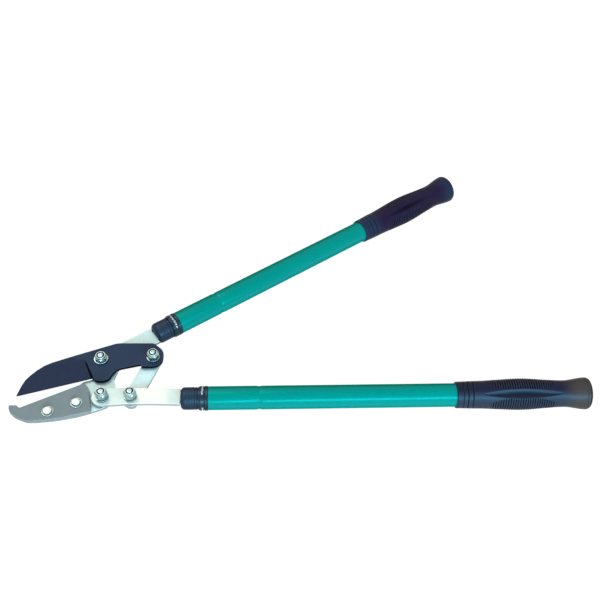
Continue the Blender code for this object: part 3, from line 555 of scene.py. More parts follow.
@dataclass
class Finishes:
    """The lopper's finishes, one per real material."""

    made: dict[tuple, Material] = field(default_factory=dict)

    # Stamped carbon steel with a sprayed low-friction coat: a dark slate satin, darker where it is ground,
    # with painted shade on its upright sides and along the grind's shoulder.
    blade: Finish = GroundBladeFinish(
        "coated_blade_steel", "#2b3a50", roughness=0.42, grain_mm=0.8, specular=0.08, grain_depth_mm=0.012,
        mottle="#243447", edge="#56687c", edge_share=0.5, side="#080b12", rim=0.1)
    # Pressed steel with a grey phosphate coat: matt and even, paler on the rubbed rims, with a paler, warmer
    # painted tone on its upright sides for how the front lamp lights them, and painted shade in its corners.
    anvil: Finish = Finish(
        "phosphated_anvil_steel", "#7f8a8a", metallic=0.1, roughness=0.55, grain_mm=0.9, mottle="#72797a",
        mottle_mm=9.0, edge="#b4c0c0", side="#96908a", specular=0.2, crevice_shade="#4a443e", crevice_shade_mm=1.5)
    # Stamped steel with bright zinc plate, tumbled: mint white, with faint clouds, darker upright sides that
    # are partly duller sheared metal and partly painted shade, and broad painted shade in corners and near
    # the parts over it.
    plated: Finish = Finish(
        "bright_zinc_plated_plate", "#d2eae6", metallic=0.2, roughness=0.45, grain_mm=1.4, mottle="#bcdcd8",
        mottle_mm=7.0, mottle_share=0.6, edge="#e8f6f2", side="#9c9a94", specular=0.25, crevice_shade="#5c6462",
        crevice_shade_mm=6.0, crevice_shade_share=0.9)
    # The same plate on the handled bar, with a warmer painted highlight in the middle of its top, darker
    # upright sides that are partly sheared metal and partly painted shade, and painted shade in its corners.
    plated_bar: Finish = PaintedHighlightBarFinish(
        "zinc_plated_bar_painted_highlight", "#cedcd4", metallic=0.2, roughness=0.45, grain_mm=1.4, mottle="#e4e8da",
        mottle_mm=16.0, mottle_share=0.8, edge="#f4faf4", side="#b0a49a", specular=0.25, crevice_shade="#54504c",
        crevice_shade_mm=3.0, crevice_shade_share=0.9)
    # Cold-headed hardware with zinc plate: smooth and shiny, bluish, with painted shade darkening its
    # corners.
    hardware: Finish = Finish(
        "zinc_plated_hardware", "#a2bcbc", metallic=1.0, roughness=0.25, grain_mm=0.7, grain_depth_mm=0.006,
        mottle="#6a8486", mottle_mm=3.0, mottle_share=0.5, edge="#e4f0f0", crevice_shade="#161c20", crevice_shade_mm=1.6,
        crevice_shade_share=0.9)
    # The same plate on the rivets' broad domes, polished by use, with painted shade in the corners round each
    # dome.
    rivet: Finish = Finish(
        "polished_zinc_plated_rivet", "#b4c4c2", metallic=0.9, roughness=0.24, grain_mm=0.9,
        grain_depth_mm=0.006, mottle="#98aaa8", mottle_mm=4.0, edge="#e0ecec", edge_share=0.4,
        crevice_shade="#10181a", crevice_shade_mm=2.4, crevice_shade_share=0.95)
    # Drawn tube with bright zinc plate: even and fine, with long draw lines.
    inner_tube: Finish = Finish(
        "drawn_zinc_plated_tube", "#c8d0ce", metallic=1.0, roughness=0.26, grain_mm=0.8, mottle="#acb8b6",
        mottle_mm=10.0)
    # Moulded polyamide: dull and dark, for the nuts' locking rings, the bushes and the plugs.
    nylon: Finish = Finish(
        "moulded_polyamide", "#1c2228", roughness=0.5, grain_mm=0.6, mottle="#262c32", specular=0.3, rim=0.1)
    # Moulded acetal: blue-black and satin, with a faint moulded grain and painted shade in its grooves and
    # corners.
    polymer: Finish = Finish(
        "moulded_black_acetal", "#0e162c", roughness=0.46, grain_mm=0.5, grain_depth_mm=0.012,
        mottle="#182338", edge="#2e4254", edge_share=0.4, specular=0.55, specular_tint="#b0e8ff",
        crevice_shade="#05070c", crevice_shade_mm=1.4, rim=0.3)
    # The same acetal on the twist rings, polished by hands, with painted shade in the flutes and corners.
    ring: Finish = Finish(
        "handled_black_acetal", "#101828", roughness=0.36, grain_mm=0.5, grain_depth_mm=0.008,
        mottle="#162230", edge="#3c5058", edge_share=0.45, specular=0.5, specular_tint="#c0f0ff",
        crevice_shade="#05070c", crevice_shade_mm=1.4, rim=0.25)
    # Powder coat on drawn steel tube: glossy green with a faint orange peel.
    paint: Finish = Finish(
        "green_powder_coat", "#00897c", roughness=0.28, roughness_spread=0.05, grain_mm=2.2,
        grain_depth_mm=0.011, mottle="#009180", mottle_mm=20.0, specular=0.45, specular_tint="#30f0e4",
        rim=0.0)
    # Pad-printed ink: flat and pale.
    ink: Finish = Finish(
        "white_pad_print", "#e0e6ec", roughness=0.6, grain_mm=0.4, grain_depth_mm=0.004, mottle="#b8bec6",
        mottle_mm=1.5, mottle_share=0.6)
    # Thermoplastic rubber, moulded: blue-black and matt, with a painted sheen on the flank that faces the
    # front lamp and a browner flared end.
    lower_grip: GripFinish = GripFinish(
        "moulded_grip_rubber", "#160824", roughness=0.42, grain_mm=0.7, grain_depth_mm=0.014,
        mottle="#1c0c2c", mottle_mm=14.0, mottle_share=0.5, specular=0.3, specular_tint="#a0e0ff", rim=0.35)
    # The same rubber on the upper handle, with painted reflections that make its collar and flared end bluer,
    # and no painted sheen on its flank.
    upper_grip: GripFinish = replace(
        lower_grip, specular_tint="#b8b8ff", flank_sheen="#1c3444", flank_share=0.0, collar_share=0.65,
        end_tone_and_sheen="#1c3244", end_mm=(130.0, 154.0), end_share=0.75)

    def get(self, key: str, turn: float = 0.0, stretch: Triple = UNSTRETCHED) -> Material:
        """Make a finish once for each direction and return it.

        Args:
            key: The finish's field name.
            turn: Angle of the piece's length about +Z, in radians.
            stretch: Scale of the pattern along each local axis.

        Returns:
            The material.
        """
        label = (key, round(turn, 4), stretch)
        if label not in self.made:
            self.made[label] = getattr(self, key).build(turn, stretch)
        return self.made[label]


class Maker:
    """Shared steps that turn a profile into a bmesh and a bmesh into a finished piece on its body."""

    @staticmethod
    def rounded_corner(start: Station, corner: Station, end: Station, radius: float,
                       steps: int = 4) -> list[Station]:
        """Stations of a curve that rounds a profile's corner.

        Args:
            start: Station before the corner.
            corner: The corner itself.
            end: Station after the corner.
            radius: How far from the corner the curve begins and ends.
            steps: Segments of the curve.

        Returns:
            Stations from the curve's start to its end.
        """
        middle = Vector(corner)
        first = middle + (Vector(start) - middle).normalized() * radius
        last = middle + (Vector(end) - middle).normalized() * radius
        points = []
        for step in range(steps + 1):
            share = step / steps
            point = first * (1 - share) ** 2 + middle * 2 * share * (1 - share) + last * share ** 2
            points.append((point.x, point.y))
        return points

    @staticmethod
    def rounded_profile(corners: list[Triple], steps: int = 4) -> list[Station]:
        """Round the corners of a closed profile.

        Args:
            corners: Place along X, radius and rounding of each.
            steps: Segments of each rounding.

        Returns:
            The profile's stations.
        """
        points: list[Station] = []
        for index, (along, radius, rounding) in enumerate(corners):
            if rounding <= 0.0:
                points.append((along, radius))
                continue
            before = corners[index - 1][:2]
            after = corners[(index + 1) % len(corners)][:2]
            points += Maker.rounded_corner(before, (along, radius), after, rounding, steps)
        return points

    @staticmethod
    def lathe(profile: list[Station], sides: int, closed: bool = True) -> BMesh:
        """Spin a profile round the X axis.

        Args:
            profile: Place along X and radius of each station. Radii of 0 end on the axis.
            sides: Facets round the axis.
            closed: Whether the last station joins the first.

        Returns:
            The turned bmesh.
        """
        bm = bmesh.new()
        chain = [bm.verts.new((along, 0.0, radius)) for along, radius in profile]
        pairs = list(zip(chain, chain[1:]))
        if closed:
            pairs.append((chain[-1], chain[0]))
        edges = [bm.edges.new(pair) for pair in pairs if max(vert.co.z for vert in pair) > 1e-6]
        bmesh.ops.spin(bm, geom=chain + edges, cent=(0, 0, 0), axis=(1, 0, 0), dvec=(0, 0, 0),
                       angle=2 * math.pi, steps=sides, use_merge=True, use_duplicate=False)
        return bm

    @staticmethod
    def piece(name: str, bm: BMesh, place: Matrix, material: Material, body: str, slot: str,
              replaces: tuple[str, ...] = (), sharp_deg: float = 35.0) -> Object:
        """Finish a bmesh as a piece whose place is in its mesh.

        Args:
            name: The piece's name.
            bm: The shape in its own axes, in millimetres. It is freed.
            place: Matrix from its own axes to the frame's.
            material: The piece's finish.
            body: The body that it rides on.
            slot: The record's material slot; not used.
            replaces: CAD nodes that it stands for.
            sharp_deg: Edges that bend by more stay sharp.

        Returns:
            The new object.
        """
        bmesh.ops.remove_doubles(bm, verts=bm.verts, dist=1e-4)
        bmesh.ops.recalc_face_normals(bm, faces=bm.faces)
        bmesh.ops.transform(bm, matrix=place, verts=bm.verts)
        mesh = bpy.data.meshes.new(name)
        bm.to_mesh(mesh)
        bm.free()
        mesh.shade_smooth()
        mesh.set_sharp_from_angle(angle=math.radians(sharp_deg))
        mesh.materials.append(material)
        obj = bpy.data.objects.new(name, mesh)
        bpy.context.scene.collection.objects.link(obj)
        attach(obj, body)
        if replaces:
            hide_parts(*replaces)
        LOG.info("%s: %d faces on %s", name, len(mesh.polygons), body)
        return obj

    @staticmethod
    def shrink(vert: BMVert, share: float) -> None:
        """Move a point towards the X axis, to a share of its distance from it."""
        vert.co.y *= share
        vert.co.z *= share


@dataclass
class Handle:
    """One telescopic handle: sleeve, inner tube, plug, lock ring, collet, painted tube and grip."""

    side: Side
    fixed_body: str
    finishes: Finishes

    clearance: float = 0.3
    tube_diameter: float = 27.0
    tube_wall: float = 1.5
    tube_visible: float = 282.8
    tube_length: float = 412.8
    crimp_position: float = 57.8
    crimp_half: float = 3.2
    crimp_depth: float = 0.55
    inner_diameter: float = 20.0
    inner_wall: float = 1.5
    inner_front: float = -27.6
    inner_rear: float = 314.3
    collet_length: float = 64.0
    collet_nose: float = 5.5
    plug_flange: float = 12.0
    plug_spigot: float = 15.0
    sleeve_front: float = -31.2
    sleeve_length: float = 19.8
    sleeve_diameter: float = 25.7
    sleeve_wall: float = 3.3
    # Distance from the sleeve's front, half width and depth of each groove round it.
    sleeve_grooves: tuple[Triple, ...] = ((6.6, 0.5, 0.22), (9.7, 0.5, 0.26), (13.0, 0.5, 0.26),
                                          (16.1, 0.7, 0.5))
    slot_width: float = 13.6
    slot_height: float = 4.6
    ring_front: float = -11.1
    ring_length: float = 10.8
    ring_diameter: float = 28.1
    flutes: int = 32
    flute_depth: float = 0.35
    tick_count: int = 13
    tick_first: float = -17.8
    tick_pitch: float = 1.45
    tick_width: float = 0.95
    marks_turns_deg: tuple[float, float] = (0.0, 159.0)
    marks_height: float = 0.11
    sides: int = 96
    inner_sides: int = 64

    def __post_init__(self) -> None:
        """Place the handle on its lock ring's joint."""
        origin, along = joint_place(self.side.value + "_lock_twist")
        self.turn = math.atan2(along.y, along.x)
        self.place = Matrix.Translation(origin) @ Matrix.Rotation(self.turn, 4, 'Z') @ Matrix.Scale(MM, 4)
        self.slider = self.side.value + "_slider"
        self.ring_body = self.side.value + "_ring"

    def label(self, part: str) -> str:
        """Name of one of this handle's pieces."""
        return self.side.value + "_" + part

    def add(self, part: str, suffix: str, bm: BMesh, finish: str, body: str, slot: str,
            sharp_deg: float = 35.0) -> Object:
        """Finish one piece of the handle that stands for the CAD node of the same name.

        Args:
            part: The CAD node's name without its side.
            suffix: What the shown piece's name ends with.
            bm: Its shape in the handle's axes.
            finish: Key of its finish.
            body: The body that it rides on.
            slot: The record's material slot.
            sharp_deg: Edges that bend by more stay sharp.

        Returns:
            The piece.
        """
        material = self.finishes.get(finish, self.turn, (0.25, 1.0, 1.0))
        node = self.label(part)
        return Maker.piece(node + "_" + suffix, bm, self.place, material, body, slot, (node,), sharp_deg)

    def build_sleeve(self) -> None:
        """Front sleeve with a rounded nose, fine grooves, a slot for the plate's tenon and a stepped rear."""
        front = self.sleeve_front
        rear = front + self.sleeve_length
        radius = self.sleeve_diameter / 2
        bore = self.inner_diameter / 2 + self.clearance
        step = radius - 0.7
        corners = [(front, 0.0, 0.0), (front, radius, 5.4)]
        for along, half, deep in self.sleeve_grooves:
            middle = front + along
            corners += [(middle - half, radius, 0.1), (middle, radius - deep, 0.1),
                        (middle + half, radius, 0.1)]
        corners += [(rear - 1.2, radius, 0.2), (rear - 0.9, step, 0.1), (rear, step, 0.2), (rear, bore, 0.3),
                    (front + self.sleeve_wall, bore, 0.0), (front + self.sleeve_wall, 0.0, 0.0)]
        bm = Maker.lathe(Maker.rounded_profile(corners), self.sides)
        sleeve = self.add("front_sleeve", "moulding", bm, "polymer", self.fixed_body, "black_plastic")
        low, high = levels("carrier_plate" if self.side is Side.UPPER else "lever_bar")
        plate_middle = (low + high) / 2 - self.place.translation.z / MM
        cutter = bmesh.new()
        bmesh.ops.create_cube(cutter, size=1.0)
        size = (self.sleeve_wall + 2.0, self.slot_width, self.slot_height)
        bmesh.ops.scale(cutter, vec=size, verts=cutter.verts)
        bmesh.ops.translate(cutter, vec=(front + self.sleeve_wall / 2, 0.0, plate_middle), verts=cutter.verts)
        self.cut(sleeve, cutter)

    def cut(self, obj: Object, cutter: BMesh) -> None:
        """Cut a shape out of a piece and keep the result as its mesh.

        Args:
            obj: The piece.
            cutter: The shape to take away, in the handle's axes. It is freed.
        """
        bmesh.ops.recalc_face_normals(cutter, faces=cutter.faces)
        bmesh.ops.transform(cutter, matrix=self.place, verts=cutter.verts)
        mesh = bpy.data.meshes.new("cutter")
        cutter.to_mesh(mesh)
        cutter.free()
        tool = bpy.data.objects.new("cutter", mesh)
        bpy.context.scene.collection.objects.link(tool)
        modifier = obj.modifiers.new("slot", 'BOOLEAN')
        modifier.operation = 'DIFFERENCE'
        modifier.solver = 'EXACT'
        modifier.object = tool
        bpy.context.view_layer.update()
        shown = obj.evaluated_get(bpy.context.evaluated_depsgraph_get())
        result = bpy.data.meshes.new_from_object(shown)
        obj.modifiers.clear()
        obj.data = result
        bpy.data.objects.remove(tool, do_unlink=True)

    def build_lock_ring(self) -> None:
        """Twist ring with a raised front rim, a printed band and a fluted rear edge."""
        radius = self.ring_diameter / 2
        bore = self.inner_diameter / 2 + self.clearance
        nose = self.tube_diameter / 2 - self.tube_wall
        front = self.ring_front
        rear = front + self.ring_length
        step = -self.collet_nose - self.clearance
        band = radius - 0.12
        low = radius - 0.7
        corners = [(front, bore, 0.2), (front, low, 0.3), (front + 1.5, low, 0.2), (front + 1.9, band, 0.3),
                   (front + 6.5, band, 0.3), (front + 6.9, low, 0.1), (front + 7.3, low, 0.1),
                   (front + 7.6, radius, 0.3), (rear, radius - 0.1, 0.7), (rear, nose, 0.2),
                   (step, nose, 0.0), (step, bore, 0.0)]
        bm = Maker.lathe(Maker.rounded_profile(corners), self.sides)
        for vert in bm.verts:
            reach = math.hypot(vert.co.y, vert.co.z)
            if front + 7.5 < vert.co.x < rear - 0.4 and reach > radius - 0.3:
                wave = 0.5 - 0.5 * math.cos(self.flutes * math.atan2(vert.co.y, vert.co.z))
                Maker.shrink(vert, 1.0 - self.flute_depth * wave / reach)
        self.add("lock_ring", "moulding", bm, "ring", self.ring_body, "black_plastic", 50.0)
        self.build_marks(band, front + 2.6)

    def build_marks(self, radius: float, start: float) -> None:
        """Generic twist marks printed on the ring's band: twice over, a scale of ticks and an arrowhead.

        Args:
            radius: Radius of the band.
            start: Where the band's marks start along the handle.
        """
        rear = 3.1
        outlines = [[(2.0, 0.7), (4.9, 1.9), (2.0, rear)]]
        for tick in range(self.tick_count):
            place = self.tick_first + self.tick_pitch * tick
            end = place + self.tick_width
            front = 0.9 + 0.5 * (tick % 3)
            outlines.append([(place, front), (end, front), (end, rear), (place, rear)])
        flat = bmesh.new()
        phase = 39.0 if self.side is Side.UPPER else 0.0
        for turn in self.marks_turns_deg:
            shift = radius * math.radians(phase + turn)
            for outline in outlines:
                corners = [(start + along, shift + around, 0.0) for around, along in outline]
                flat.faces.new([flat.verts.new(corner) for corner in corners])
        bmesh.ops.connect_verts_concave(flat, faces=flat.faces)
        # Cuts a millimetre apart let the flat marks bend round the band.
        for cut in range(-20, 60):
            geometry = flat.verts[:] + flat.edges[:] + flat.faces[:]
            bmesh.ops.bisect_plane(flat, geom=geometry, dist=1e-4, plane_co=(0.0, cut, 0.0),
                                   plane_no=(0.0, 1.0, 0.0))
        extruded = bmesh.ops.extrude_face_region(flat, geom=flat.faces[:])
        for item in extruded["geom"]:
            if isinstance(item, BMVert):
                item.co.z = self.marks_height
        for vert in flat.verts:
            reach = radius - 0.05 + vert.co.z
            angle = vert.co.y / radius
            vert.co = Vector((vert.co.x, -reach * math.sin(angle), reach * math.cos(angle)))
        material = self.finishes.get("ink", self.turn)
        Maker.piece(self.label("lock_ring_marks"), flat, self.place, material, self.ring_body,
                    "black_plastic")

    def build_inner_parts(self) -> None:
        """Inner tube, its guide plug and the collet between the tubes."""
        outer = self.inner_diameter / 2
        bore = outer - self.inner_wall
        corners = [(self.inner_front, bore, 0.3), (self.inner_front, outer, 0.3),
                   (self.inner_rear, outer, 0.3), (self.inner_rear, bore, 0.3)]
        bm = Maker.lathe(Maker.rounded_profile(corners), self.inner_sides)
        self.add("inner_tube", "drawn", bm, "inner_tube", self.fixed_body, "plated_steel")

        spigot = bore - self.clearance
        flange = self.tube_diameter / 2 - self.tube_wall - self.clearance
        seat = self.inner_rear + self.clearance
        front = seat - self.plug_spigot
        rear = seat + self.plug_flange
        corners = [(front, 0.0, 0.0), (front, spigot, 0.8), (seat, spigot, 0.0), (seat, flange, 0.5),
                   (rear, flange, 0.8), (rear, 0.0, 0.0)]
        bm = Maker.lathe(Maker.rounded_profile(corners), self.inner_sides)
        self.add("guide_plug", "moulding", bm, "nylon", self.fixed_body, "dark_nylon")

        bush = outer + self.clearance
        corners = [(-self.collet_nose, bush, 0.2), (-self.collet_nose, flange, 0.5),
                   (self.collet_length, flange, 0.5), (self.collet_length, bush, 0.2)]
        bm = Maker.lathe(Maker.rounded_profile(corners), self.inner_sides)
        self.add("collet", "moulding", bm, "nylon", self.slider, "dark_nylon")

    def build_outer_tube(self) -> None:
        """Painted tube with a rolled crimp and a rounded front end."""
        radius = self.tube_diameter / 2
        bore = radius - self.tube_wall
        start = self.crimp_position - self.crimp_half
        end = self.crimp_position + self.crimp_half
        profile = Maker.rounded_corner((0.0, bore), (0.0, radius), (5.0, radius), 0.5)
        steps = 12
        for step in range(steps + 1):
            dip = 0.5 - 0.5 * math.cos(2 * math.pi * step / steps)
            profile.append((start + (end - start) * step / steps, radius - self.crimp_depth * dip ** 0.7))
        profile += [(end + (self.tube_length - end) * step / steps, radius) for step in range(1, steps)]
        profile += [(self.tube_length, radius), (self.tube_length, bore)]
        profile += Maker.rounded_corner((5.0, bore), (0.0, bore), (0.0, radius), 0.3)
        bm = Maker.lathe(profile, self.sides)
        self.add("outer_tube", "painted", bm, "paint", self.slider, "green_paint", 50.0)

    def build(self) -> None:
        """Build every piece of the handle."""
        self.build_sleeve()
        self.build_inner_parts()
        self.build_lock_ring()
        self.build_outer_tube()
        Grip(self).build()


@dataclass
class Grip:
    """Moulded grip: a ringed collar, cross ribs between smooth lens-shaped scoops, a neck, a flared end."""

    handle: Handle
    length: float = 157.6
    socket: float = 130.0
    front_diameter: float = 30.6
    collar_diameter: float = 31.8
    collar_length: float = 23.0
    belly_diameter: float = 36.4
    belly_position: float = 75.0
    neck_diameter: float = 30.8
    neck_position: float = 126.0
    bulb_diameter: float = 37.0
    bulb_rounding: float = 5.6
    end_dish: float = 0.9
    # Distance from the front end, half width and depth of the collar's grooves and of the bulb's faint steps.
    grooves: tuple[Triple, ...] = ((7.5, 0.9, 0.35), (12.7, 1.0, 0.45), (18.5, 1.0, 0.45), (150.2, 0.8, 0.3),
                                   (153.8, 0.9, 0.5))
    bulb_steps_start: float = 148.0
    rib_start: float = 36.0
    rib_pitch: float = 2.8
    rib_count: int = 29
    rib_depth: float = 0.75
    pad_fade: float = math.radians(2.5)
    scoop_count: int = 3
    scoop_start: float = 30.0
    scoop_length: float = 92.0
    scoop_half: float = math.radians(18.5)
    scoop_fade: float = math.radians(1.6)
    scoop_depth: float = 2.0
    scoop_roll: float = math.radians(34.0)
    sides: int = 144

    @staticmethod
    def ease(share: float) -> float:
        """Ease from 0 to 1 with no slope at either end."""
        share = min(1.0, max(0.0, share))
        return share * share * (3.0 - 2.0 * share)

    def base_radius(self, x: float) -> float:
        """Plain radius of the body at a distance from the grip's front end.

        Args:
            x: The distance.

        Returns:
            The radius.
        """
        stations = [(0.0, self.front_diameter), (self.collar_length, self.collar_diameter),
                    (self.belly_position, self.belly_diameter), (self.neck_position, self.neck_diameter),
                    (self.length - self.bulb_rounding, self.bulb_diameter)]
        for (x0, d0), (x1, d1) in zip(stations, stations[1:]):
            if x <= x1:
                return (d0 + (d1 - d0) * self.ease((x - x0) / (x1 - x0))) / 2
        return self.bulb_diameter / 2

    def groove(self, x: float) -> float:
        """Depth of the collar's grooves and the bulb's faint steps at a distance from the front end."""
        return sum(deep * self.ease(1.0 - abs(x - middle) / half) for middle, half, deep in self.grooves)

    def rib(self, x: float) -> tuple[float, float]:
        """Share of the gap between two cross ribs, and of the ribbing as a whole.

        Args:
            x: Distance from the grip's front end.

        Returns:
            Gap share and ribbing share, each from 0 to 1.
        """
        place = (x - self.rib_start) / self.rib_pitch
        if place < 0.0 or place > self.rib_count:
            return 0.0, 0.0
        fade = self.ease(min(place, self.rib_count - place) / 2.0)
        return (0.5 + 0.5 * math.cos(2 * math.pi * place)) ** 1.3 * fade, fade

    def scoop(self, x: float, angle: float) -> tuple[float, float]:
        """Share of a scoop's depth, and of its smooth skin, at a point.

        Args:
            x: Distance from the grip's front end.
            angle: Angle from +Z towards -Y.

        Returns:
            Depth share and smoothness share, each from 0 to 1.
        """
        along = (x - self.scoop_start) / self.scoop_length
        if along <= 0.0 or along >= 1.0:
            return 0.0, 0.0
        half = self.scoop_half * math.sin(math.pi * along) ** 0.75
        period = 2 * math.pi / self.scoop_count
        away = abs((angle - self.scoop_roll + period / 2) % period - period / 2)
        if away >= half:
            return 0.0, self.ease(1.0 - (away - half) / self.scoop_fade)
        return (1.0 - (away / half) ** 2.0) * (half / self.scoop_half) ** 0.8, 1.0

    def pad(self, x: float, angle: float) -> float:
        """Share of the ribbing at a point: each ribbed pad lies between two scoops and has rounded ends.

        Args:
            x: Distance from the grip's front end.
            angle: Angle from +Z towards -Y.

        Returns:
            The share, from 0 to 1.
        """
        along = (x - self.rib_start) / (self.rib_pitch * self.rib_count)
        if along <= 0.0 or along >= 1.0:
            return 0.0
        period = 2 * math.pi / self.scoop_count
        half = (period / 2 - 0.7 * self.scoop_half) * math.sin(math.pi * along) ** 0.4
        away = abs((angle - self.scoop_roll) % period - period / 2)
        return self.ease((half - away) / self.pad_fade)

    def stations(self) -> list[float]:
        """Distances of the rows along the grip, close together over the grooves and ribs.

        Returns:
            The distances from the front end.
        """
        rows = [0.0]
        step = self.rib_pitch / 8
        ribs_end = self.rib_start + self.rib_count * self.rib_pitch
        while rows[-1] + step < self.length - self.bulb_rounding:
            fine = rows[-1] < ribs_end or rows[-1] > self.bulb_steps_start
            rows.append(rows[-1] + (step if fine else 2.5 * step))
        return rows

    def profile(self, bore: float) -> list[Station]:
        """Outline of the plain body with its blind socket, from the socket's end to the end face's middle.

        Args:
            bore: Radius of the socket.

        Returns:
            The open profile.
        """
        blind = self.socket + self.handle.clearance
        front = self.base_radius(0.0)
        outline = [(blind, 0.0), (blind, bore), (0.3, bore), (0.0, bore + 0.3), (0.0, front - 0.9),
                   (0.25, front - 0.35)]
        outline += [(x, self.base_radius(x)) for x in self.stations()[4:]]
        rounding = self.bulb_rounding
        steps = 28
        for step in range(1, steps + 1):
            turn = math.pi / 2 * step / steps
            x = self.length - rounding + (rounding - self.end_dish) * math.sin(turn)
            outline.append((x, self.bulb_diameter / 2 - rounding * (1 - math.cos(turn)) - self.groove(x)))
        rim = self.bulb_diameter / 2 - rounding
        steps = 6
        for step in range(1, steps + 1):
            share = 1 - step / steps
            outline.append((self.length - self.end_dish * share ** 2, rim * share))
        return outline

    def build(self) -> None:
        """Spin the plain body, then move its points for grooves, ribs and scoops."""
        bore = self.handle.tube_diameter / 2 + self.handle.clearance
        bm = Maker.lathe(self.profile(bore), self.sides, closed=False)
        relief = bm.verts.layers.float.new("relief")
        for vert in bm.verts:
            x = vert.co.x
            reach = math.hypot(vert.co.y, vert.co.z)
            if reach < bore + 0.6 or x < 0.8:
                continue
            # The relief attribute places the material's painted shade in grooves, rib gaps and scoop floors,
            # and its painted highlight on rib tops.
            vert[relief] = -self.groove(x) / 0.7
            if x > self.length - self.bulb_rounding:
                continue
            angle = math.atan2(-vert.co.y, vert.co.z)
            depth, smooth = self.scoop(x, angle)
            gap, ribbed = (share * self.pad(x, angle) for share in self.rib(x))
            vert[relief] += (ribbed - 2.0 * gap) * (1.0 - smooth) - 0.45 * depth
            cut = self.groove(x) + self.rib_depth * gap * (1.0 - smooth) + self.scoop_depth * depth
            Maker.shrink(vert, 1.0 - cut / reach)
        place = self.handle.place @ Matrix.Translation((self.handle.tube_visible, 0.0, 0.0))
        node = self.handle.label("grip")
        Maker.piece(node + "_moulding", bm, place, self.material(), self.handle.slider, "black_grip", (node,),
                    60.0)

    def material(self) -> Material:
        """Make the rubber finish, with its tints placed on this handle's own length.

        Returns:
            The material.
        """
        back = Matrix.Rotation(-self.handle.turn, 4, 'Z')
        front = (back @ self.handle.place.translation).x + self.handle.tube_visible * MM
        finish = getattr(self.handle.finishes, self.handle.label("grip"))
        return replace(finish, front=front).build(self.handle.turn)


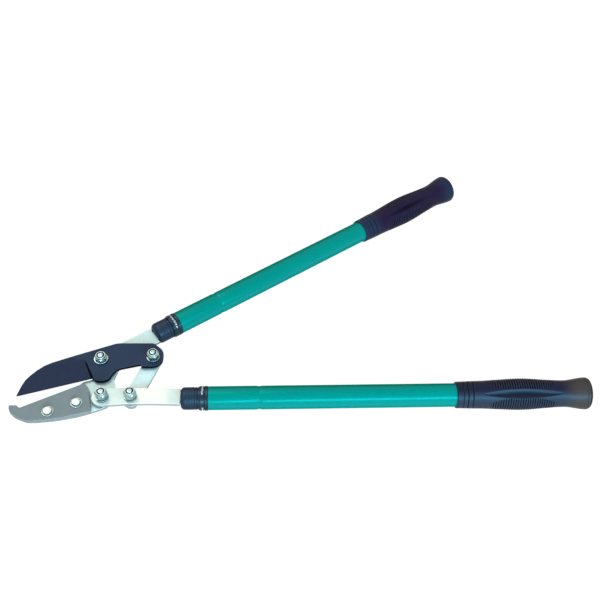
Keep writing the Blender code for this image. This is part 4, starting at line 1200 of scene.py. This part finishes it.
@dataclass
class PivotSet:
    """Bolt, spacer, washer, locking nut and its nylon ring on one pivot."""

    prefix: str
    body: Body
    washer_diameter: float
    hex_turn_deg: float
    finishes: Finishes
    bolt_diameter: float = 8.0
    thread_pitch: float = 1.25
    thread_depth: float = 0.5
    across_flats: float = 13.0
    corner_share: float = 0.555
    chamfer_depth: float = 0.825
    chamfer_slope: float = 0.9
    head_height: float = 5.3
    collar_height: float = 2.0
    collar_diameter: float = 11.6
    insert_diameter: float = 9.6
    spacer_diameter: float = 16.0
    sides: int = 72

    def add(self, part: str, bm: BMesh, finish: str, slot: str, sharp_deg: float = 32.0) -> None:
        """Finish one piece of the pivot that stands for the CAD node of the same name.

        Args:
            part: The CAD node's name without its prefix.
            bm: Its shape, with +X as its upward axis.
            finish: Key of its finish.
            slot: The record's material slot.
            sharp_deg: Edges that bend by more stay sharp.
        """
        node = self.prefix + "_" + part
        place = upright_place(self.prefix + "_washer")
        material = self.finishes.get(finish)
        Maker.piece(node + "_turned", bm, place, material, self.body.value, slot, (node,), sharp_deg)

    def levels(self, part: str) -> tuple[float, float]:
        """Lowest and highest level of one of the pivot's CAD nodes, in millimetres."""
        return levels(self.prefix + "_" + part)

    def blank(self, low: float, high: float, start: float, steps: int, both_ends: bool) -> list[Triple]:
        """Corners of a hexagon's turned side, which is chamfered at its lower end and maybe at its upper one.

        Args:
            low: Level of the lower end.
            high: Level of the upper end.
            start: Height of the first corner above the lower end.
            steps: Stretches between the corners.
            both_ends: Whether the upper end is chamfered too.

        Returns:
            Place along X, radius and rounding of each corner.
        """
        corners = []
        for step in range(steps + 1):
            level = low + start + (high - low - start) * step / steps
            inset = min(level - low, high - level) if both_ends else level - low
            drop = max(0.0, self.chamfer_depth - self.chamfer_slope * inset)
            corners.append((level, self.corner_share * self.across_flats - drop, 0.0))
        return corners

    def press_flats(self, bm: BMesh, low: float, high: float) -> None:
        """Press a turned blank to a hexagon: points outside the flats move onto them.

        One flat faces the set turn.

        Args:
            bm: The turned blank, with its axis on X.
            low: Level where the flats start.
            high: Level where the flats end.
        """
        for vert in bm.verts:
            if not low - 1e-3 <= vert.co.x <= high + 1e-3:
                continue
            reach = math.hypot(vert.co.y, vert.co.z)
            angle = math.atan2(vert.co.y, -vert.co.z) - math.radians(self.hex_turn_deg)
            from_flat = (angle + math.pi / 6) % (math.pi / 3) - math.pi / 6
            limit = self.across_flats / 2 / math.cos(from_flat)
            if reach > limit:
                Maker.shrink(vert, limit / reach)

    def build_nut(self) -> None:
        """Locking nut: hexagon with turned corners, a rounded collar and a recess for the nylon ring."""
        low, top = self.levels("nut")
        bore = self.bolt_diameter / 2 + 0.15
        collar = self.collar_diameter / 2
        recess = self.insert_diameter / 2 + 0.1
        shoulder = top - self.collar_height
        flats_top = shoulder - 0.1
        corners = [(low, bore, 0.0), (low, 0.48 * self.across_flats, 0.2)]
        corners += self.blank(low, flats_top, 0.15, 10, True)
        corners += [(shoulder + 0.05, collar + 0.15, 0.2), (top - 0.5, collar, 0.3), (top, collar - 0.5, 0.3),
                    (top, recess - 0.3, 0.2), (top - 0.4, recess, 0.1), (top - 1.4, recess, 0.0),
                    (top - 1.4, bore, 0.0)]
        bm = Maker.lathe(Maker.rounded_profile(corners, 3), self.sides)
        self.press_flats(bm, low, flats_top)
        self.add("nut", bm, "hardware", "zinc_hardware", 28.0)
        lip = bore - 0.85
        corners = [(top - 1.3, bore, 0.0), (top - 1.3, recess - 0.05, 0.0), (top - 0.45, recess - 0.05, 0.2),
                   (top - 0.2, lip, 0.2), (top - 0.5, lip + 0.1, 0.0)]
        self.add("insert", Maker.lathe(Maker.rounded_profile(corners, 3), 48), "nylon", "dark_nylon")

    def build_bolt(self) -> None:
        """Hexagon bolt with a washer face and a threaded end that shows above the nut."""
        low, end = self.levels("bolt")
        thread, flush = self.levels("nut")
        head_top = low + self.head_height
        radius = self.bolt_diameter / 2
        pitch = self.thread_pitch
        corners = [(low, 0.0, 0.0), (low, 0.44 * self.across_flats, 0.3)]
        corners += self.blank(low, head_top, 0.25, 8, False)
        corners.append((head_top, radius, 0.0))
        while thread + pitch < flush - 1.3:
            corners += [(thread, radius, 0.0), (thread + 0.35 * pitch, radius, 0.0),
                        (thread + 0.68 * pitch, radius - self.thread_depth, 0.0)]
            thread += pitch
        corners += [(flush - 1.25, radius, 0.0), (flush - 0.15, radius - 1.0, 0.1),
                    (end - 0.1, radius - 1.1, 0.2), (end, 1.1, 0.2), (end - 0.35, 0.5, 0.2),
                    (end - 0.35, 0.0, 0.0)]
        bm = Maker.lathe(Maker.rounded_profile(corners, 2), self.sides)
        self.press_flats(bm, low, head_top)
        self.add("bolt", bm, "hardware", "zinc_hardware", 28.0)

    def build_washers(self) -> None:
        """Plain washer under the nut and thin spacer between the plates."""
        bore = self.bolt_diameter / 2 + 0.2
        for part, diameter, inner, foot, brim, steps in (("washer", self.washer_diameter, 0.15, 0.3, 0.45, 3),
                                                         ("spacer", self.spacer_diameter, 0.1, 0.2, 0.2, 2)):
            low, high = self.levels(part)
            radius = diameter / 2
            corners = [(low, bore, inner), (low, radius, foot), (high, radius, brim), (high, bore, inner)]
            bm = Maker.lathe(Maker.rounded_profile(corners, steps), self.sides)
            self.add(part, bm, "hardware", "zinc_hardware")

    def build(self) -> None:
        """Build every piece of the pivot."""
        self.build_nut()
        self.build_bolt()
        self.build_washers()


@dataclass
class Head:
    """The stamped plates, the anvil's rivets and the four pivots."""

    finishes: Finishes
    rivet_head_diameter: float = 13.6
    rivet_diameter: float = 6.0
    link_turn_deg: float = 68.6
    # Each pivot's prefix, body, washer diameter and turn of its hexagons in degrees.
    pivots: tuple[tuple[str, Body, float, float], ...] = (
        ("blade_pivot", Body.FRAME, 16.5, 3.8), ("lever_pivot", Body.FRAME, 15.1, 30.0),
        ("blade_link", Body.BLADE, 15.1, 31.5), ("lever_link", Body.LEVER, 15.1, 30.0))

    def dress_plates(self) -> None:
        """Give each stamped CAD plate its finish, along its own length."""
        upper = joint_place("upper_slide")[1]
        turn = math.atan2(upper.y, upper.x)
        plates = {"carrier_plate": ("plated", turn), "lever_bar": ("plated_bar", 0.0),
                  "link": ("plated", math.radians(self.link_turn_deg)), "anvil": ("anvil", turn),
                  "blade": ("blade", 0.0)}
        for node, (finish, angle) in plates.items():
            obj = frame["nodes"][node]
            obj.data.materials.clear()
            obj.data.materials.append(self.finishes.get(finish, angle))
            LOG.info("%s: finished as %s", node, finish)

    def build_rivet(self, node: str) -> None:
        """Domed rivet with a low cylindrical rim and an upset tail.

        Args:
            node: The CAD rivet that it stands for.
        """
        low, high = levels(node)
        seat = levels("anvil")[1]
        back = levels("carrier_plate")[0]
        radius = self.rivet_head_diameter / 2
        shank = self.rivet_diameter / 2
        tail = 0.8 * radius
        corners = [(low, 0.0, 0.0), (low, 0.7 * tail, 0.4), (back - 0.3, tail, 0.2), (back - 0.3, shank, 0.0),
                   (seat + 0.3, shank, 0.0), (seat + 0.3, radius, 0.1), (seat + 1.1, radius - 0.2, 0.2),
                   (seat + 1.1, 0.9 * radius, 0.2), (seat + 0.5, 0.86 * radius, 0.2),
                   (seat + 0.6, 0.76 * radius, 0.2), (high - 0.4, 0.71 * radius, 0.4),
                   (high - 0.06, 0.4 * radius, 1.5), (high, 0.0, 0.0)]
        bm = Maker.lathe(Maker.rounded_profile(corners), 64, closed=False)
        Maker.piece(node + "_turned", bm, upright_place(node), self.finishes.get("rivet"), Body.FRAME.value,
                    "zinc_hardware", (node,), 40.0)

    def build(self) -> None:
        """Dress the plates and build the rivets and pivots."""
        self.dress_plates()
        self.build_rivet("anvil_rivet_front")
        self.build_rivet("anvil_rivet_rear")
        for pivot in self.pivots:
            PivotSet(*pivot, self.finishes).build()


@dataclass(frozen=True)
class Softbox:
    """A rectangular area lamp: its place, what it faces, width and height, watts, colour and lean."""

    name: str
    place: Triple
    aim: Triple
    size: tuple[float, float]
    power: float
    colour: str
    lean_deg: float = 0.0

    def build(self) -> None:
        """Add the lamp and turn it about its own facing direction by its lean."""
        data = bpy.data.lights.new(self.name, 'AREA')
        data.shape = 'RECTANGLE'
        data.size = self.size[0]
        data.size_y = self.size[1]
        data.energy = self.power
        data.color = linear(self.colour)[:3]
        lamp = bpy.data.objects.new(self.name, data)
        lamp.location = self.place
        facing = (Vector(self.place) - Vector(self.aim)).to_track_quat('Z', 'Y')
        lean = Quaternion((0.0, 0.0, 1.0), math.radians(self.lean_deg))
        lamp.rotation_euler = (facing @ lean).to_euler()
        bpy.context.scene.collection.objects.link(lamp)


@dataclass
class Studio:
    """Camera at the photograph's angle, pale floor, even pale surroundings and two soft lamps."""

    lens_mm: float = 54.21
    azimuth_deg: float = -4.26
    elevation_deg: float = 48.67
    roll_deg: float = 2.75
    distance: float = 1.1288
    target: Triple = (0.00021, -0.02207, 0.018654)
    floor_half: float = 6.0
    floor_level: float = -0.0002
    paper: Colour = (0.8, 0.8, 0.8, 1.0)
    white_share: float = 0.84
    glow: float = 0.12
    sky: Colour = (0.97, 0.99, 1.0, 1.0)
    sky_front: float = 0.45
    sky_back: float = 0.4
    lamps: tuple[Softbox, ...] = (
        Softbox("front_strip", (0.35, -1.75, 0.74), (0.05, -0.15, 0.0), (1.8, 0.28), 42.0, "#a8e0ff", 15.0),
        Softbox("top_light", (-0.75, 0.62, 1.8), (-0.2, -0.12, 0.0), (1.0, 1.5), 14.5, "#fffaf0"))

    def build_camera(self) -> None:
        """Place the camera by its azimuth, elevation and roll."""
        azimuth = math.radians(self.azimuth_deg)
        elevation = math.radians(self.elevation_deg)
        roll = math.radians(self.roll_deg)
        back = Vector((math.sin(azimuth) * math.cos(elevation), -math.cos(azimuth) * math.cos(elevation),
                       math.sin(elevation)))
        right = Vector((math.cos(azimuth), math.sin(azimuth), 0.0))
        up = back.cross(right)
        across = right * math.cos(roll) + up * math.sin(roll)
        upward = up * math.cos(roll) - right * math.sin(roll)
        data = bpy.data.cameras.new("camera")
        data.lens = self.lens_mm
        data.sensor_width = 36.0
        data.clip_start = 0.01
        data.clip_end = 50.0
        camera = bpy.data.objects.new("camera", data)
        rotation = Matrix((across, upward, back)).transposed().to_4x4()
        camera.matrix_world = Matrix.Translation(Vector(self.target) + back * self.distance) @ rotation
        bpy.context.scene.collection.objects.link(camera)
        bpy.context.scene.camera = camera

    def build_floor(self) -> None:
        """Pale paper floor that the camera and reflections see as white, with the object's shadow kept."""
        bm = bmesh.new()
        bmesh.ops.create_grid(bm, x_segments=2, y_segments=2, size=self.floor_half)
        mesh = bpy.data.meshes.new("floor")
        bm.to_mesh(mesh)
        bm.free()
        floor = bpy.data.objects.new("floor", mesh)
        floor.location = (0.0, 0.0, self.floor_level)
        bpy.context.scene.collection.objects.link(floor)
        material = bpy.data.materials.new("white_paper_floor")
        material.use_nodes = True
        tree = material.node_tree
        tree.nodes.clear()
        share = add_node(tree, "Math", (self.background_rays(tree), self.white_share), operation='MULTIPLY')
        paper = add_node(tree, "BsdfDiffuse", (self.paper,))
        white = add_node(tree, "Emission", (WHITE, 1.0))
        mixed = add_node(tree, "MixShader", (share, paper, white))
        glow = add_node(tree, "Emission", (WHITE, self.glow))
        add_node(tree, "OutputMaterial", (add_node(tree, "AddShader", (mixed, glow)),))
        mesh.materials.append(material)

    def build_surroundings(self) -> None:
        """Even pale light from all round, a little stronger in front, behind a plain white background."""
        world = bpy.data.worlds.new("pale_studio")
        bpy.context.scene.world = world
        world.use_nodes = True
        tree = world.node_tree
        tree.nodes.clear()
        direction = add_node(tree, "TexCoord").outputs["Generated"]
        depth = add_node(tree, "SeparateXYZ", (direction,)).outputs["Y"]
        strength = add_node(tree, "MapRange", (depth, -0.9, 0.9, self.sky_front, self.sky_back), **SMOOTH)
        plain = add_node(tree, "Background", (self.sky, strength))
        white = add_node(tree, "Background", (WHITE, 1.0))
        mixed = add_node(tree, "MixShader", (self.background_rays(tree), plain, white))
        add_node(tree, "OutputWorld", (mixed,))

    @staticmethod
    def background_rays(tree: NodeTree) -> Node:
        """Share of the rays that see plain white: the camera's, glossy ones and transmitted ones.

        Args:
            tree: The node tree.

        Returns:
            The node of the share, 1 for those rays and 0 for the others.
        """
        path = add_node(tree, "LightPath").outputs
        seen = path["Is Camera Ray"]
        for rays in ("Is Glossy Ray", "Is Transmission Ray"):
            seen = add_node(tree, "Math", (seen, path[rays]), operation='MAXIMUM')
        return seen

    def build(self) -> None:
        """Set up the view and the stage."""
        bpy.context.scene.view_settings.view_transform = 'Standard'
        self.build_camera()
        self.build_floor()
        self.build_surroundings()
        for lamp in self.lamps:
            lamp.build()


def main() -> None:
    """Build the studio, the head and the two handles, in order."""
    logging.basicConfig(level=logging.INFO, format="%(message)s")
    Studio().build()
    finishes = Finishes()
    Head(finishes).build()
    Handle(Side.UPPER, Body.FRAME.value, finishes).build()
    Handle(Side.LOWER, Body.LEVER.value, finishes).build()


if __name__ == "__main__":
    main()
